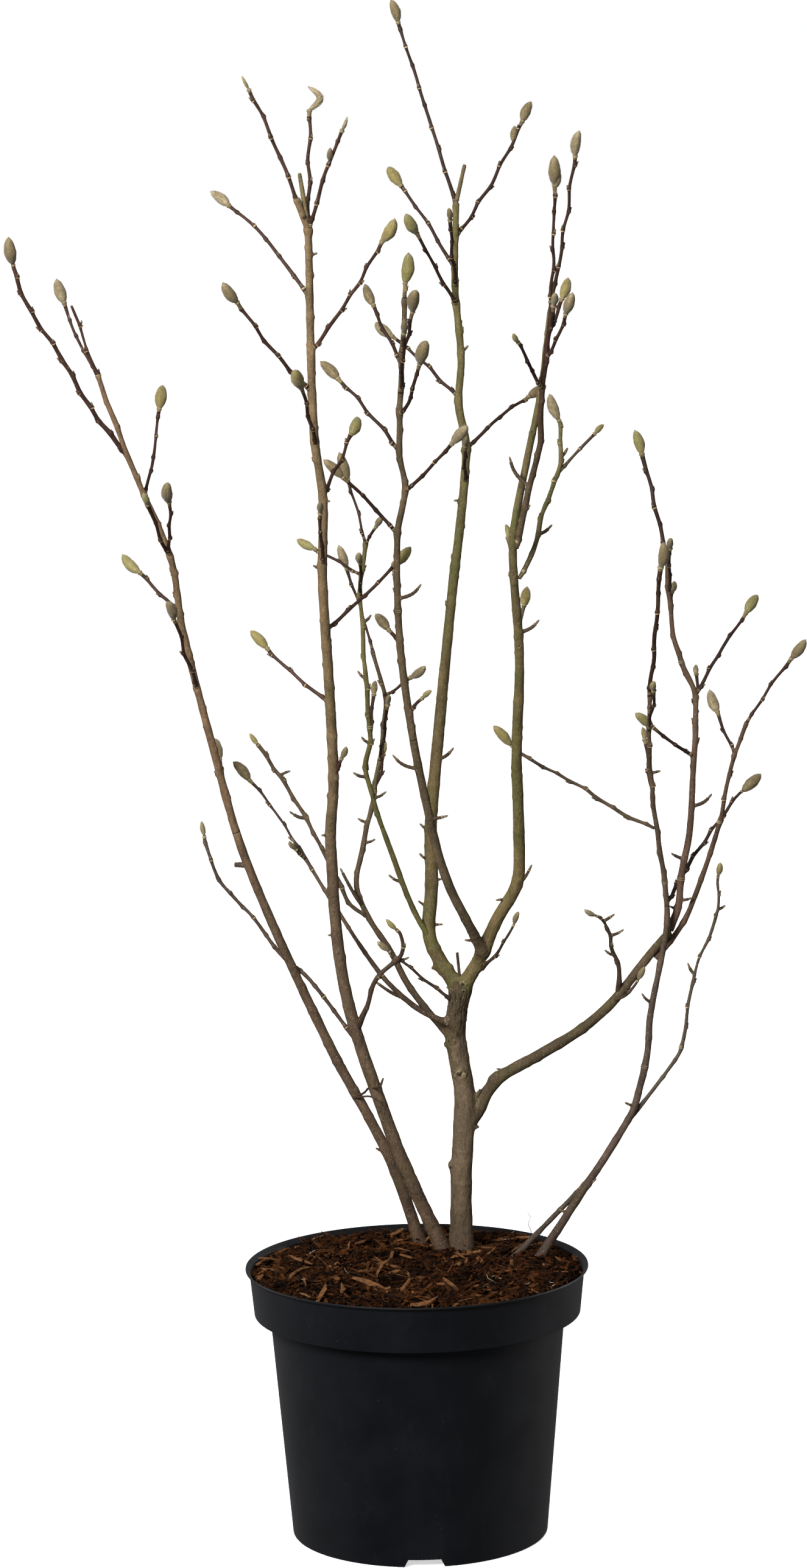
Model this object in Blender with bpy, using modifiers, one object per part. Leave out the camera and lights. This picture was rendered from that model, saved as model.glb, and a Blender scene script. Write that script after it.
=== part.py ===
"""A star magnolia in late winter, bare but for its furry flower buds, in a round nursery pot.

Sizes are in millimetres and are turned into metres where an object is made. The origin is the
middle of the pot's underside, +Z is up, +X is to the right and +Y is away from the front.
"""

import math
import random
from dataclasses import dataclass

import bmesh
import bpy
import numpy as np
from mathutils import Matrix, Vector

MM = 0.001
UP = Vector((0, 0, 1))

# The clearance between pieces that touch
GAP = 0.3

# The pot, a twenty litre container of thin black plastic
POT_HEIGHT = 271.0
RIM_RADIUS = 170.0
RIM_DEPTH = 6.4
RIM_ROUND = 2.0
BAND_TOP_RADIUS = 166.0
BAND_FOOT_RADIUS = 161.8
BAND_FOOT_HEIGHT = 221.0
BAND_ROUND = 3.0
BODY_TOP_RADIUS = 146.0
BODY_TOP_HEIGHT = 213.0
FOOT_RADIUS = 127.0
WALL = 2.2
RIM_WALL = 6.0
FLOOR_BOTTOM = 9.0
FLOOR_TOP = 12.0
FOOT_WALL = 4.0
PAD_RADIUS = 32.0
PAD_SLOPE = 6.0
NOTCH_COUNT = 3
NOTCH_HEIGHT = 8.0
NOTCH_TOP_WIDTH = 32.0
NOTCH_FOOT_WIDTH = 40.0
NOTCH_TURN = math.radians(1.6)
TURNED_STEPS = 48

# The bark mulch that fills the pot almost to its rim
SOIL_HEIGHT = 270.0
SOIL_EDGE_HEIGHT = 263.5
SOIL_FLAT_RADIUS = 128.0

# Limbs
LIMB_STEP = 30.0
LIMB_SIDES = 6
TRUNK_SIDES = 8
TAPER = 0.85
FLARE_FADE = 14.0
STRAIGHT_AT_SPLIT = 6.0
BELOW_SOIL = 12.0

# Twigs and their flower buds
SEED = 41
TWIG_RADIUS = 2.0
TWIG_END_RADIUS = 1.5
NODE_SPACING = 26.0
ZIGZAG = 0.9
SPARE_SAG = 0.15
BUD_LENGTH = 25.0
BUD_RADIUS = 6.2
SHORT_SHOOT = 45.0
SHORT_BUD = 0.55
BUD_RINGS = ((0.0, 0.4), (0.14, 0.7), (0.44, 1.0), (0.78, 0.78), (1.0, 0.16))
SKIP_CLEARANCE = 1.5
ROOT_LENGTH = 14.0
SPARE_TRIES = 6
SPARE_REACH = (70.0, 115.0)
SPARE_RISE = (55.0, 95.0)
SPARE_SIDEWAYS = 3.0
# The slope of the view from which a spare shoot stands in line with its limb
SPARE_VIEW_SLOPE = 0.147


@dataclass
class Limb:
    """One tapering limb.

    knots are places it passes through. seats names the limbs that its foot rests on, or "soil".
    Above crown_from it belongs to a crown of twigs, and joins names the crown of another limb
    where it has none of its own. A shoot is (height of its root, then how far its bud's tip lies
    to the right, to the back and up from there, and how much it sags before it turns up). small
    lists the shoots that end in a small bud, and spare is how many more shoots a rule adds.
    """

    knots: tuple
    radii: tuple
    seats: tuple
    crown_from: float = math.inf
    joins: str = ""
    shoots: tuple = ()
    small: tuple = ()
    spare: int = 0
    flare: float = 0.0
    bud: bool = False
    sides: int = LIMB_SIDES


LIMBS = {
    "trunk": Limb(
        knots=((45, 66, 270), (46, 64, 345), (50, 62, 430), (45, 61, 465), (42, 60, 498), (47, 60, 535)),
        radii=(10.5, 9.8),
        seats=("soil",),
        flare=3.0,
        sides=TRUNK_SIDES,
    ),
    "left": Limb(
        knots=(
            (27, 62, 270), (-1, 53, 335), (-26, 42, 402), (-67, 14, 547), (-78, -31, 700), (-74, -54, 763),
            (-76, -91, 860), (-80, -133, 969), (-78, -157, 1046), (-85, -178, 1110), (-86, -234, 1300),
        ),
        radii=(7.4, 2.9),
        seats=("soil", "trunk"),
        crown_from=735,
        shoots=(
            (1299, -56, -40, 137, -0.15), (1299, 2, 75, 128, 0.1), (1297, 38, -56, 101, -0.2),
            (1235, -92, 75, 95, -0.25), (1186, 78, -75, 122, 0.15), (1147, -77, -62, 105, 0.15),
            (1094, -15, -94, 77, -0.1), (1048, 33, 81, 69, 0.1), (918, 82, 62, 72, 0.1),
            (843, -76, 44, 67, 0.1), (768, 12, -19, 33, 0.2),
        ),
        small=(0, 2),
        spare=3,
        flare=1.5,
    ),
    "far_left": Limb(
        knots=(
            (4, 88, 270), (-12, 86, 322), (-32, 84, 374), (-85, 78, 479), (-163, 51, 670), (-194, 27, 792),
            (-219, -3, 910), (-228, -21, 979), (-260, -46, 1065), (-290, -72, 1155), (-313, -91, 1226),
        ),
        radii=(6.0, 1.4),
        seats=("soil",),
        crown_from=700,
        shoots=(
            (1160, -40, 56, 89, 0.3), (1041, 14, 88, 101, 0.35), (981, 4, -75, 78, 0.15),
            (923, -58, 50, 54, 0.0), (845, -23, -87, 97, 0.0), (742, -9, 56, 47, 0.2),
        ),
        spare=2,
        flare=1.5,
    ),
    "far_left_side": Limb(
        knots=((-265, -50, 1080), (-298, -70, 1127), (-325, -90, 1180), (-354, -110, 1230), (-371, -130, 1291)),
        radii=(2.3, 1.5),
        seats=(),
        crown_from=0,
        joins="far_left",
        bud=True,
    ),
    "centre": Limb(
        knots=(
            (47, 60, 536), (28, 68, 563), (17, 73, 590), (20, 82, 635), (20, 92, 695), (25, 103, 748),
            (43, 133, 910), (61, 152, 1066), (54, 157, 1112), (57, 162, 1157), (52, 169, 1229), (54, 178, 1311),
        ),
        radii=(7.4, 3.1),
        seats=("trunk",),
        crown_from=900,
        shoots=(
            (1308, -62, 25, 204, -0.05), (1277, 79, 75, 133, 0.2), (1247, -66, 62, 99, -0.1),
            (1208, -49, -75, 95, 0.0), (1118, -83, 75, 72, -0.1), (1068, 83, 62, 57, -0.15),
        ),
        spare=4,
    ),
    "right": Limb(
        knots=(
            (48, 60, 536), (65, 54, 565), (84, 43, 609), (104, 31, 648), (106, 16, 699), (104, -9, 781),
            (107, -42, 881), (101, -80, 996), (114, -100, 1073), (127, -116, 1137), (137, -137, 1218),
        ),
        radii=(7.0, 2.8),
        seats=("trunk", "centre"),
        crown_from=870,
        shoots=((1215, 26, -47, 168, 0.1), (1196, 21, 44, 51, 0.2), (893, 9, 56, 51, 0.1)),
        spare=2,
    ),
    "right_dark": Limb(
        knots=((104, -79, 990), (117, -111, 1054), (126, -130, 1092), (127, -147, 1133), (137, -175, 1225)),
        radii=(3.0, 2.2),
        seats=(),
        crown_from=0,
        joins="right",
        shoots=((1222, 3, -45, 139, 0.0), (1174, 23, -50, 64, 0.3), (1145, -28, -62, 55, 0.0)),
        small=(2,),
    ),
    "right_side": Limb(
        knots=((107, -69, 960), (121, -55, 985), (131, -41, 1021), (147, -27, 1061), (149, -13, 1101), (141, -4, 1131)),
        radii=(2.6, 1.6),
        seats=(),
        crown_from=0,
        joins="right",
        shoots=((1056, 46, 25, 45, 0.0),),
        small=(0,),
        bud=True,
    ),
    "centre_left": Limb(
        knots=(
            (70, 48, 576), (53, 22, 614), (38, 8, 647), (26, -6, 686), (13, -24, 749), (3, -38, 805), (-8, -63, 899),
            (-9, -80, 1004), (-1, -88, 1048), (-6, -94, 1086), (1, -114, 1230),
        ),
        radii=(5.2, 2.2),
        seats=("right",),
        crown_from=800,
        shoots=(
            (1227, 2, -5, 45, 0.0), (1178, 14, -56, 62, 0.2), (1167, -34, 56, 74, 0.1), (1120, 24, -75, 74, 0.4),
            (1085, -74, 69, 81, -0.1), (1046, 58, -62, 66, 0.1), (1005, -69, -20, 72, -0.1),
            (896, -22, 31, 27, 0.0), (827, 22, -25, 22, -0.3),
        ),
        spare=2,
    ),
    "low_right": Limb(
        knots=(
            (50, 64, 398), (63, 64, 411), (74, 64, 432), (88, 64, 447), (130, 70, 469), (168, 76, 491),
            (200, 80, 518), (234, 84, 560), (257, 85, 587),
        ),
        radii=(6.8, 4.0),
        seats=("trunk",),
    ),
    "outer_right": Limb(
        knots=(
            (257, 85, 589), (266, 84, 612), (269, 82, 643), (278, 92, 685), (283, 110, 740),
            (287, 138, 818), (274, 151, 852), (267, 162, 879), (261, 180, 960),
        ),
        radii=(3.8, 2.0),
        seats=("low_right",),
        crown_from=735,
        shoots=(
            (957, -29, 25, 123, -0.15), (818, 69, 62, 93, -0.1), (759, -59, -44, 51, 0.1), (903, 5, 31, 24, 0.0),
        ),
        spare=2,
    ),
    "far_right": Limb(
        knots=((243, 86, 560), (264, 91, 584), (279, 88, 612), (307, 60, 705), (315, 48, 752), (331, 34, 804)),
        radii=(3.0, 1.9),
        seats=("low_right", "outer_right"),
        crown_from=690,
        shoots=((802, 57, -25, 85, -0.1), (771, -21, 56, 58, 0.1)),
    ),
    "right_stem": Limb(
        knots=(
            (122, 24, 270), (148, 30, 308), (215, 47, 408), (225, 51, 437), (233, 55, 472), (236, 60, 506),
            (253, 70, 590), (254, 73, 621), (242, 51, 707), (235, 23, 775), (234, -11, 839),
        ),
        radii=(4.4, 1.9),
        seats=("soil",),
        crown_from=612,
        shoots=((836, 9, -73, 157, 0.1),),
        spare=2,
        flare=1.0,
    ),
    "behind_right": Limb(
        knots=((255, 72, 620), (263, 88, 630), (271, 98, 642), (284, 105, 661), (328, 127, 716), (352, 138, 738)),
        radii=(2.2, 1.5),
        seats=(),
        crown_from=0,
        joins="right_stem",
        bud=True,
    ),
    "long_left": Limb(
        knots=((241, 53, 697), (208, 53, 713), (166, 48, 742), (110, 38, 775), (81, 32, 802)),
        radii=(2.1, 1.5),
        seats=(),
        crown_from=0,
        joins="right_stem",
        bud=True,
    ),
    "thin_right": Limb(
        knots=(
            (102, 45, 270), (128, 45, 297), (171, 48, 342), (207, 55, 392), (253, 44, 456), (265, 40, 477),
            (278, 18, 558), (299, -8, 622), (298, -21, 654), (300, -30, 675),
        ),
        radii=(2.8, 1.3),
        seats=("soil",),
        crown_from=485,
        flare=0.8,
        bud=True,
    ),
    "left_low": Limb(
        knots=((42, 54, 500), (13, 46, 515), (-5, 44, 528), (-32, 44, 556), (-76, 51, 623), (-112, 74, 681)),
        radii=(3.2, 1.7),
        seats=("trunk",),
        crown_from=590,
        shoots=((679, -66, 43, 80, -0.15), (668, -16, -14, 22, 0.2)),
    ),
    "left_back": Limb(
        knots=(
            (44, 62, 478), (-2, 88, 532), (-23, 103, 570), (-42, 115, 598), (-55, 127, 628), (-51, 135, 658),
            (-36, 151, 723), (-24, 172, 814), (-36, 182, 863),
        ),
        radii=(3.0, 1.8),
        seats=("trunk",),
        crown_from=588,
        shoots=((861, -34, 15, 107, -0.15), (818, 41, -37, 35, 0.1)),
        spare=2,
    ),
    "left_back_side": Limb(
        knots=((-42, 115, 598), (-62, 116, 615), (-75, 118, 642), (-114, 141, 714), (-161, 174, 781)),
        radii=(2.0, 1.3),
        seats=(),
        crown_from=0,
        joins="left_back",
        bud=True,
    ),
    "inner_left": Limb(
        knots=(
            (20, 71, 582), (2, 66, 616), (-15, 62, 663), (-43, 58, 756), (-39, 55, 792),
            (-42, 53, 847), (-46, 52, 944), (-40, 52, 986),
        ),
        radii=(3.0, 1.7),
        seats=("centre",),
        crown_from=700,
        shoots=((984, -25, 0, 89, -0.15), (953, -63, 50, 31, 0.0), (982, 17, -25, 31, 0.0)),
        spare=2,
    ),
    "trunk_twig": Limb(
        knots=((44, 58, 524), (30, 50, 534), (-10, 34, 570), (-34, 29, 591)),
        radii=(2.0, 1.3),
        seats=("trunk",),
        crown_from=0,
        bud=True,
    ),
    "left_front_twig": Limb(
        knots=((-56, 22, 505), (-45, 10, 532), (-35, 4, 561), (-12, -3, 582), (-12, -11, 606), (-25, -14, 621)),
        radii=(2.6, 1.3),
        seats=("left",),
        crown_from=0,
        bud=True,
    ),
    "left_back_twig": Limb(
        knots=((-52, 24, 486), (-102, 66, 546), (-131, 90, 568), (-161, 106, 606), (-193, 118, 641), (-212, 134, 697)),
        radii=(2.2, 1.3),
        seats=("left",),
        crown_from=0,
        bud=True,
    ),
    "low_right_twig": Limb(
        knots=((205, 80, 529), (206, 74, 556), (198, 69, 575), (197, 65, 589), (189, 59, 604), (172, 49, 618)),
        radii=(2.0, 1.3),
        seats=("low_right",),
        crown_from=0,
        bud=True,
    ),
    "low_right_spur": Limb(
        knots=((197, 80, 518), (214, 66, 528), (232, 58, 555)),
        radii=(1.8, 1.3),
        seats=("low_right",),
        crown_from=0,
        bud=True,
    ),
    "right_low_twig": Limb(
        knots=((69, 52, 558), (86, 33, 581), (100, 22, 607), (102, 17, 622)),
        radii=(2.0, 1.3),
        seats=("right",),
        crown_from=0,
        bud=True,
    ),
}

# The height at which a limb that bends below its crown is split once more
SPLIT_AT_BEND = {"right_stem": 445.0}

# Colours, linear, with their roughness
POT_BLACK = ((0.012, 0.012, 0.014), 0.45)
MULCH_BROWN = ((0.035, 0.015, 0.007), 0.95)
BARK_GREY = ((0.13, 0.1, 0.07), 0.8)
BARK_OLIVE = ((0.13, 0.11, 0.045), 0.7)
TWIG_BROWN = ((0.11, 0.075, 0.05), 0.7)
OLIVE_LIMBS = ("centre", "right", "inner_left", "low_right")


def clear_scene():
    for obj in list(bpy.data.objects):
        bpy.data.objects.remove(obj)


def new_collection(name):
    collection = bpy.data.collections.new(name)
    bpy.context.scene.collection.children.link(collection)
    return collection


def finish(obj, look):
    colour, roughness = look
    material = bpy.data.materials.new(f"{obj.name}_finish")
    material.use_nodes = True
    shader = material.node_tree.nodes["Principled BSDF"]
    shader.inputs["Base Color"].default_value = (*colour, 1.0)
    shader.inputs["Roughness"].default_value = roughness
    shader.inputs["Metallic"].default_value = 0.0
    obj.data.materials.clear()
    obj.data.materials.append(material)


# Paths


def smooth_path(knots, step):
    """Points about step apart on a smooth curve through the knots."""
    places = [Vector(knot) for knot in knots]
    lengths = [(b - a).length for a, b in zip(places, places[1:])]
    slopes = [(places[1] - places[0]) / lengths[0]]
    for before, here, after, first, second in zip(places, places[1:], places[2:], lengths, lengths[1:]):
        slopes.append((after - before) / (first + second))
    slopes.append((places[-1] - places[-2]) / lengths[-1])
    points = [places[0]]
    for a, b, slope_a, slope_b, length in zip(places, places[1:], slopes, slopes[1:], lengths):
        count = max(1, round(length / step))
        for i in range(1, count + 1):
            t = i / count
            points.append(
                a * (2 * t**3 - 3 * t**2 + 1)
                + slope_a * length * (t**3 - 2 * t**2 + t)
                + b * (3 * t**2 - 2 * t**3)
                + slope_b * length * (t**3 - t**2)
            )
    return points


def shares(points):
    """How far along the path each point lies, from 0 to 1."""
    run = [0.0]
    for a, b in zip(points, points[1:]):
        run.append(run[-1] + (b - a).length)
    return [value / run[-1] for value in run]


def limb_radii(limb, points):
    foot, tip = limb.radii
    radii = []
    for point, share in zip(points, shares(points)):
        swell = limb.flare * math.exp(-abs(point.z - SOIL_HEIGHT) / FLARE_FADE)
        radii.append(foot + (tip - foot) * share**TAPER + swell)
    return radii


def at_height(points, radii, height):
    """The place, radius and direction of a limb where it reaches a height."""
    for a, b, ra, rb in zip(points, points[1:], radii, radii[1:]):
        if b.z >= height:
            t = max(0.0, (height - a.z) / (b.z - a.z))
            return a.lerp(b, t), ra + (rb - ra) * t, (b - a).normalized()
    return points[-1].copy(), radii[-1], (points[-1] - points[-2]).normalized()


def split(points, radii, height):
    """The two lengths of a limb, below and above a height, with parallel ends a gap apart."""
    place, radius, along = at_height(points, radii, height)
    below = [(p, r) for p, r in zip(points, radii) if p.z < height - STRAIGHT_AT_SPLIT]
    above = [(p, r) for p, r in zip(points, radii) if p.z > height + STRAIGHT_AT_SPLIT]
    below += [(place - along * STRAIGHT_AT_SPLIT, radius), (place, radius)]
    above = [(place + along * GAP, radius), (place + along * STRAIGHT_AT_SPLIT, radius)] + above
    return below, above


# Twigs


def bud_end(points, radii, size):
    """A path carried on into a pointed bud of a share of the full size."""
    along = (points[-1] - points[-2]).normalized()
    start = points[-1].copy()
    for place, width in BUD_RINGS[1:]:
        points.append(start + along * BUD_LENGTH * size * place)
        radii.append(BUD_RADIUS * size * width)
    return points, radii


def shoot_path(root, reach, sag, rng, parent_radius, small=False):
    """A twig that leaves its limb, turns up, jogs a little at each node and ends in a bud."""
    heading = reach.normalized()
    size = (SHORT_BUD if small or reach.length < SHORT_SHOOT else 1.0) * rng.uniform(0.88, 1.1)
    tip = root + reach
    leaving = (heading - UP * sag).normalized()
    arriving = (heading + UP * sag).normalized()
    base = tip - arriving * BUD_LENGTH * size
    third = (base - root).length / 3
    curve = (root, root + leaving * third, base - arriving * third, base)
    sideways = heading.cross(UP)
    sideways = sideways.normalized() if sideways.length > 0.1 else Vector((1, 0, 0))
    count = max(2, round((base - root).length / NODE_SPACING))
    points, radii = [], []
    side = rng.choice((-1, 1))
    widest = min(TWIG_RADIUS, parent_radius * 0.8)
    for i in range(count + 1):
        t = i / count
        u = 1 - t
        point = curve[0] * u**3 + curve[1] * 3 * u * u * t + curve[2] * 3 * u * t * t + curve[3] * t**3
        if 0 < i < count:
            point += sideways * side * ZIGZAG * rng.uniform(0.6, 1.2)
            side = -side
        points.append(point)
        radii.append(widest + (min(TWIG_END_RADIUS, widest) - widest) * t)
    return bud_end(points, radii, size)


def dense(points, radii, step=4.0):
    """Rows of x, y, z and radius along a path, for measuring clearances."""
    rows = []
    for a, b, ra, rb in zip(points, points[1:], radii, radii[1:]):
        count = max(1, math.ceil((b - a).length / step))
        for i in range(count):
            t = i / count
            rows.append((*a.lerp(b, t), ra + (rb - ra) * t))
    rows.append((*points[-1], radii[-1]))
    return np.array(rows)


def touches(rows, taken, crown):
    """Whether a twig comes too near a limb or twig that isn't in its own crown."""
    for owner, others in taken:
        if owner == crown:
            continue
        apart = np.linalg.norm(rows[:, None, :3] - others[None, :, :3], axis=2)
        if (apart - rows[:, None, 3] - others[None, :, 3]).min() < SKIP_CLEARANCE:
            return True
    return False


def plan_limbs():
    """Each limb's points and radii, and each crown's twigs, with those that would touch left out."""
    paths, twigs, taken = {}, {}, []
    for name, limb in LIMBS.items():
        points = smooth_path(limb.knots, LIMB_STEP)
        paths[name] = (points, limb_radii(limb, points))
        twigs[name] = []
        taken.append((limb.joins or name, dense(*paths[name])))
    for name, limb in LIMBS.items():
        crown = limb.joins or name
        points, radii = paths[name]
        for index, (height, right, back, rise, sag) in enumerate(limb.shoots):
            rng = random.Random(f"{SEED} {name} {index}")
            root, radius, _ = at_height(points, radii, height)
            reach = Vector((right, back, rise))
            twig = shoot_path(root, reach, sag, rng, radius, index in limb.small)
            keep_if_clear(twig, crown, name, twigs, taken)
    for name, limb in LIMBS.items():
        add_spare_shoots(name, limb, paths[name], twigs, taken)
    return paths, twigs


def keep_if_clear(twig, crown, name, twigs, taken):
    rows = dense(*twig)
    free = rows[np.linalg.norm(rows[:, :3] - rows[0, :3], axis=1) > ROOT_LENGTH]
    if touches(free, taken, crown):
        return False
    twigs[name].append(twig)
    taken.append((crown, rows))
    return True


def add_spare_shoots(name, limb, path, twigs, taken):
    """Shoots to the back and the front by turns, in line with their limb as seen from the front."""
    points, radii = path
    low = max(limb.crown_from, points[0].z) + 30
    high = points[-1].z - 20
    for index in range(limb.spare):
        side = 1 if index % 2 == 0 else -1
        for attempt in range(SPARE_TRIES):
            rng = random.Random(f"{SEED} spare {name} {index} {attempt}")
            height = low + (high - low) * (index + rng.random()) / limb.spare
            root, radius, along = at_height(points, radii, height)
            rise = rng.uniform(*SPARE_RISE)
            back = side * rng.uniform(*SPARE_REACH)
            slope = along.x / max(along.z, 0.3)
            right = slope * (rise + back * SPARE_VIEW_SLOPE) + rng.uniform(-1, 1) * SPARE_SIDEWAYS
            reach = Vector((right, back, rise))
            twig = shoot_path(root, reach, SPARE_SAG, rng, radius)
            if keep_if_clear(twig, limb.joins or name, name, twigs, taken):
                break


# Solids


def tube(name, collection, points, radii, sides):
    """A closed tapering tube, made as a curve and turned into a mesh."""
    curve = bpy.data.curves.new(name, "CURVE")
    curve.dimensions = "3D"
    curve.twist_mode = "MINIMUM"
    curve.fill_mode = "FULL"
    curve.bevel_depth = 1.0
    curve.bevel_resolution = (sides - 4) // 2
    curve.use_fill_caps = True
    spline = curve.splines.new("POLY")
    spline.points.add(len(points) - 1)
    for target, point, radius in zip(spline.points, points, radii):
        target.co = (*(point * MM), 1.0)
        target.radius = radius * MM
    source = bpy.data.objects.new(name, curve)
    collection.objects.link(source)
    bpy.context.view_layer.update()
    mesh = bpy.data.meshes.new_from_object(source.evaluated_get(bpy.context.evaluated_depsgraph_get()))
    bpy.data.objects.remove(source)
    bpy.data.curves.remove(curve)
    shape = bmesh.new()
    shape.from_mesh(mesh)
    bmesh.ops.remove_doubles(shape, verts=shape.verts, dist=1e-6)
    bmesh.ops.recalc_face_normals(shape, faces=shape.faces)
    if shape.calc_volume(signed=True) < 0:
        bmesh.ops.reverse_faces(shape, faces=shape.faces)
    shape.to_mesh(mesh)
    shape.free()
    mesh.name = name
    obj = bpy.data.objects.new(name, mesh)
    collection.objects.link(obj)
    return obj


def apply_modifiers(obj):
    bpy.context.view_layer.update()
    mesh = bpy.data.meshes.new_from_object(obj.evaluated_get(bpy.context.evaluated_depsgraph_get()))
    obj.modifiers.clear()
    old = obj.data
    obj.data = mesh
    bpy.data.meshes.remove(old)


def carve(obj, cutter):
    """Cuts one closed mesh away from another and drops any loose scrap."""
    cut = obj.modifiers.new("seat", "BOOLEAN")
    cut.operation = "DIFFERENCE"
    cut.solver = "EXACT"
    cut.object = cutter
    apply_modifiers(obj)
    bpy.data.objects.remove(cutter)
    keep_largest(obj)


def keep_largest(obj):
    shape = bmesh.new()
    shape.from_mesh(obj.data)
    left = set(shape.verts)
    pieces = []
    while left:
        piece, edge = set(), [next(iter(left))]
        while edge:
            vert = edge.pop()
            if vert in piece:
                continue
            piece.add(vert)
            edge.extend(link.other_vert(vert) for link in vert.link_edges)
        left -= piece
        pieces.append(piece)
    pieces.sort(key=len)
    for scrap in pieces[:-1]:
        bmesh.ops.delete(shape, geom=list(scrap), context="VERTS")
    shape.to_mesh(obj.data)
    shape.free()


def fuse(obj, twigs):
    """Joins a crown's twigs to its leading shoot in one union."""
    if not twigs:
        return
    group = bpy.data.collections.new(f"{obj.name}_twigs")
    for twig in twigs:
        for holder in list(twig.users_collection):
            holder.objects.unlink(twig)
        group.objects.link(twig)
    union = obj.modifiers.new("twigs", "BOOLEAN")
    union.operation = "UNION"
    union.solver = "EXACT"
    union.operand_type = "COLLECTION"
    union.collection = group
    apply_modifiers(obj)
    for twig in twigs:
        bpy.data.objects.remove(twig)
    bpy.data.collections.remove(group)
    keep_largest(obj)


def seat_cutter(limb_name, paths, collection):
    """A limb grown by the gap, to cut the seat of another that stands on it."""
    points, radii = paths[limb_name]
    sides = LIMBS[limb_name].sides
    swell = GAP / math.cos(math.pi / sides)
    return tube("cutter", collection, points, [r + swell for r in radii], sides)


def soil_cutter():
    """A block up to just above the soil, to cut a stem's foot flat."""
    top = SOIL_HEIGHT + GAP
    bpy.ops.mesh.primitive_cube_add(size=1)
    box = bpy.context.object
    width, depth = 2 * RIM_RADIUS * MM, 4 * BELOW_SOIL * MM
    box.data.transform(Matrix.Diagonal((width, width, depth, 1)))
    box.data.transform(Matrix.Translation((0, 0, top * MM - depth / 2)))
    return box


def seat(obj, limb, paths, collection):
    for below in limb.seats:
        carve(obj, soil_cutter() if below == "soil" else seat_cutter(below, paths, collection))


def started_below_soil(limb, points, radii):
    """A limb that rises from the soil starts a little lower, to be cut flat at the surface."""
    if "soil" not in limb.seats:
        return points, radii
    along = (points[1] - points[0]).normalized()
    return [points[0] - along * BELOW_SOIL] + points, [radii[0]] + radii


def tube_of(name, collection, rows, sides):
    return tube(name, collection, [p for p, _ in rows], [r for _, r in rows], sides)


def make_plant(collection):
    paths, twigs = plan_limbs()
    for name, limb in LIMBS.items():
        if not limb.joins:
            make_limb(name, limb, paths, twigs, collection)


def make_limb(name, limb, paths, twigs, collection):
    points, radii = started_below_soil(limb, *paths[name])
    if name == "trunk":
        lengths = {"trunk": list(zip(points, radii))}
    elif limb.crown_from == 0:
        lengths = {name: list(zip(points, radii))}
    elif limb.crown_from == math.inf:
        lengths = {f"{name}_bough": list(zip(points, radii))}
    else:
        below, above = split(points, radii, limb.crown_from)
        lengths = {f"{name}_bough": below, f"{name}_crown": above}
        if name in SPLIT_AT_BEND:
            low, high = split([p for p, _ in below], [r for _, r in below], SPLIT_AT_BEND[name])
            lengths = {f"{name}_foot": low, f"{name}_bough": high, f"{name}_crown": above}
    look = BARK_OLIVE if name in OLIVE_LIMBS else BARK_GREY
    crown = list(lengths)[-1] if limb.crown_from < math.inf else None
    for index, (node, rows) in enumerate(lengths.items()):
        if node == crown:
            obj = make_crown(node, name, limb, rows, paths, twigs, collection)
        else:
            obj = tube_of(node, collection, rows, limb.sides)
        if index == 0:
            seat(obj, limb, paths, collection)
        finish(obj, TWIG_BROWN if node == crown else look)


def budded(limb, points, radii):
    """A limb whose last knot is the tip of a bud, with the bud on its end."""
    if not limb.bud:
        return points, radii
    size = SHORT_BUD if limb.radii[1] < 1.4 else 1.0
    along = (points[-1] - points[-2]).normalized()
    base = points[-1] - along * BUD_LENGTH * size
    kept = [(p, r) for p, r in zip(points, radii) if (p - points[-1]).length > BUD_LENGTH * size + 4]
    return bud_end([p for p, _ in kept] + [base], [r for _, r in kept] + [radii[-1]], size)


def make_crown(node, name, limb, rows, paths, twigs, collection):
    points, radii = budded(limb, [p for p, _ in rows], [r for _, r in rows])
    leader = tube(node, collection, points, radii, LIMB_SIDES)
    parts = []
    members = [name] + [other for other, joined in LIMBS.items() if joined.joins == name]
    for member in members:
        if member != name:
            path = budded(LIMBS[member], *paths[member])
            parts.append(tube("twig", collection, *path, LIMB_SIDES))
        for twig in twigs[member]:
            parts.append(tube("twig", collection, *twig, LIMB_SIDES))
    fuse(leader, parts)
    return leader


def lathe(name, collection, profile):
    """A closed turned shape from a profile that runs down its outer side."""
    mesh = bpy.data.meshes.new(name)
    verts = [(x * MM, 0.0, z * MM) for x, z in profile]
    mesh.from_pydata(verts, [(i, i + 1) for i in range(len(verts) - 1)], [])
    obj = bpy.data.objects.new(name, mesh)
    collection.objects.link(obj)
    turn = obj.modifiers.new("turn", "SCREW")
    turn.axis = "Z"
    turn.steps = TURNED_STEPS
    turn.render_steps = TURNED_STEPS
    turn.use_merge_vertices = True
    turn.merge_threshold = 1e-5
    return obj


def inner_wall():
    """The pot's inner profile, from the rim's inner edge down to the floor."""
    return [
        (RIM_RADIUS - RIM_WALL, POT_HEIGHT - RIM_ROUND),
        (BAND_TOP_RADIUS - WALL, POT_HEIGHT - RIM_DEPTH),
        (BAND_FOOT_RADIUS - WALL, BAND_FOOT_HEIGHT + BAND_ROUND),
        (BAND_FOOT_RADIUS - WALL - BAND_ROUND, BAND_FOOT_HEIGHT),
        (BODY_TOP_RADIUS - WALL, BODY_TOP_HEIGHT),
        (FOOT_RADIUS - WALL, FLOOR_TOP),
    ]


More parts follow.
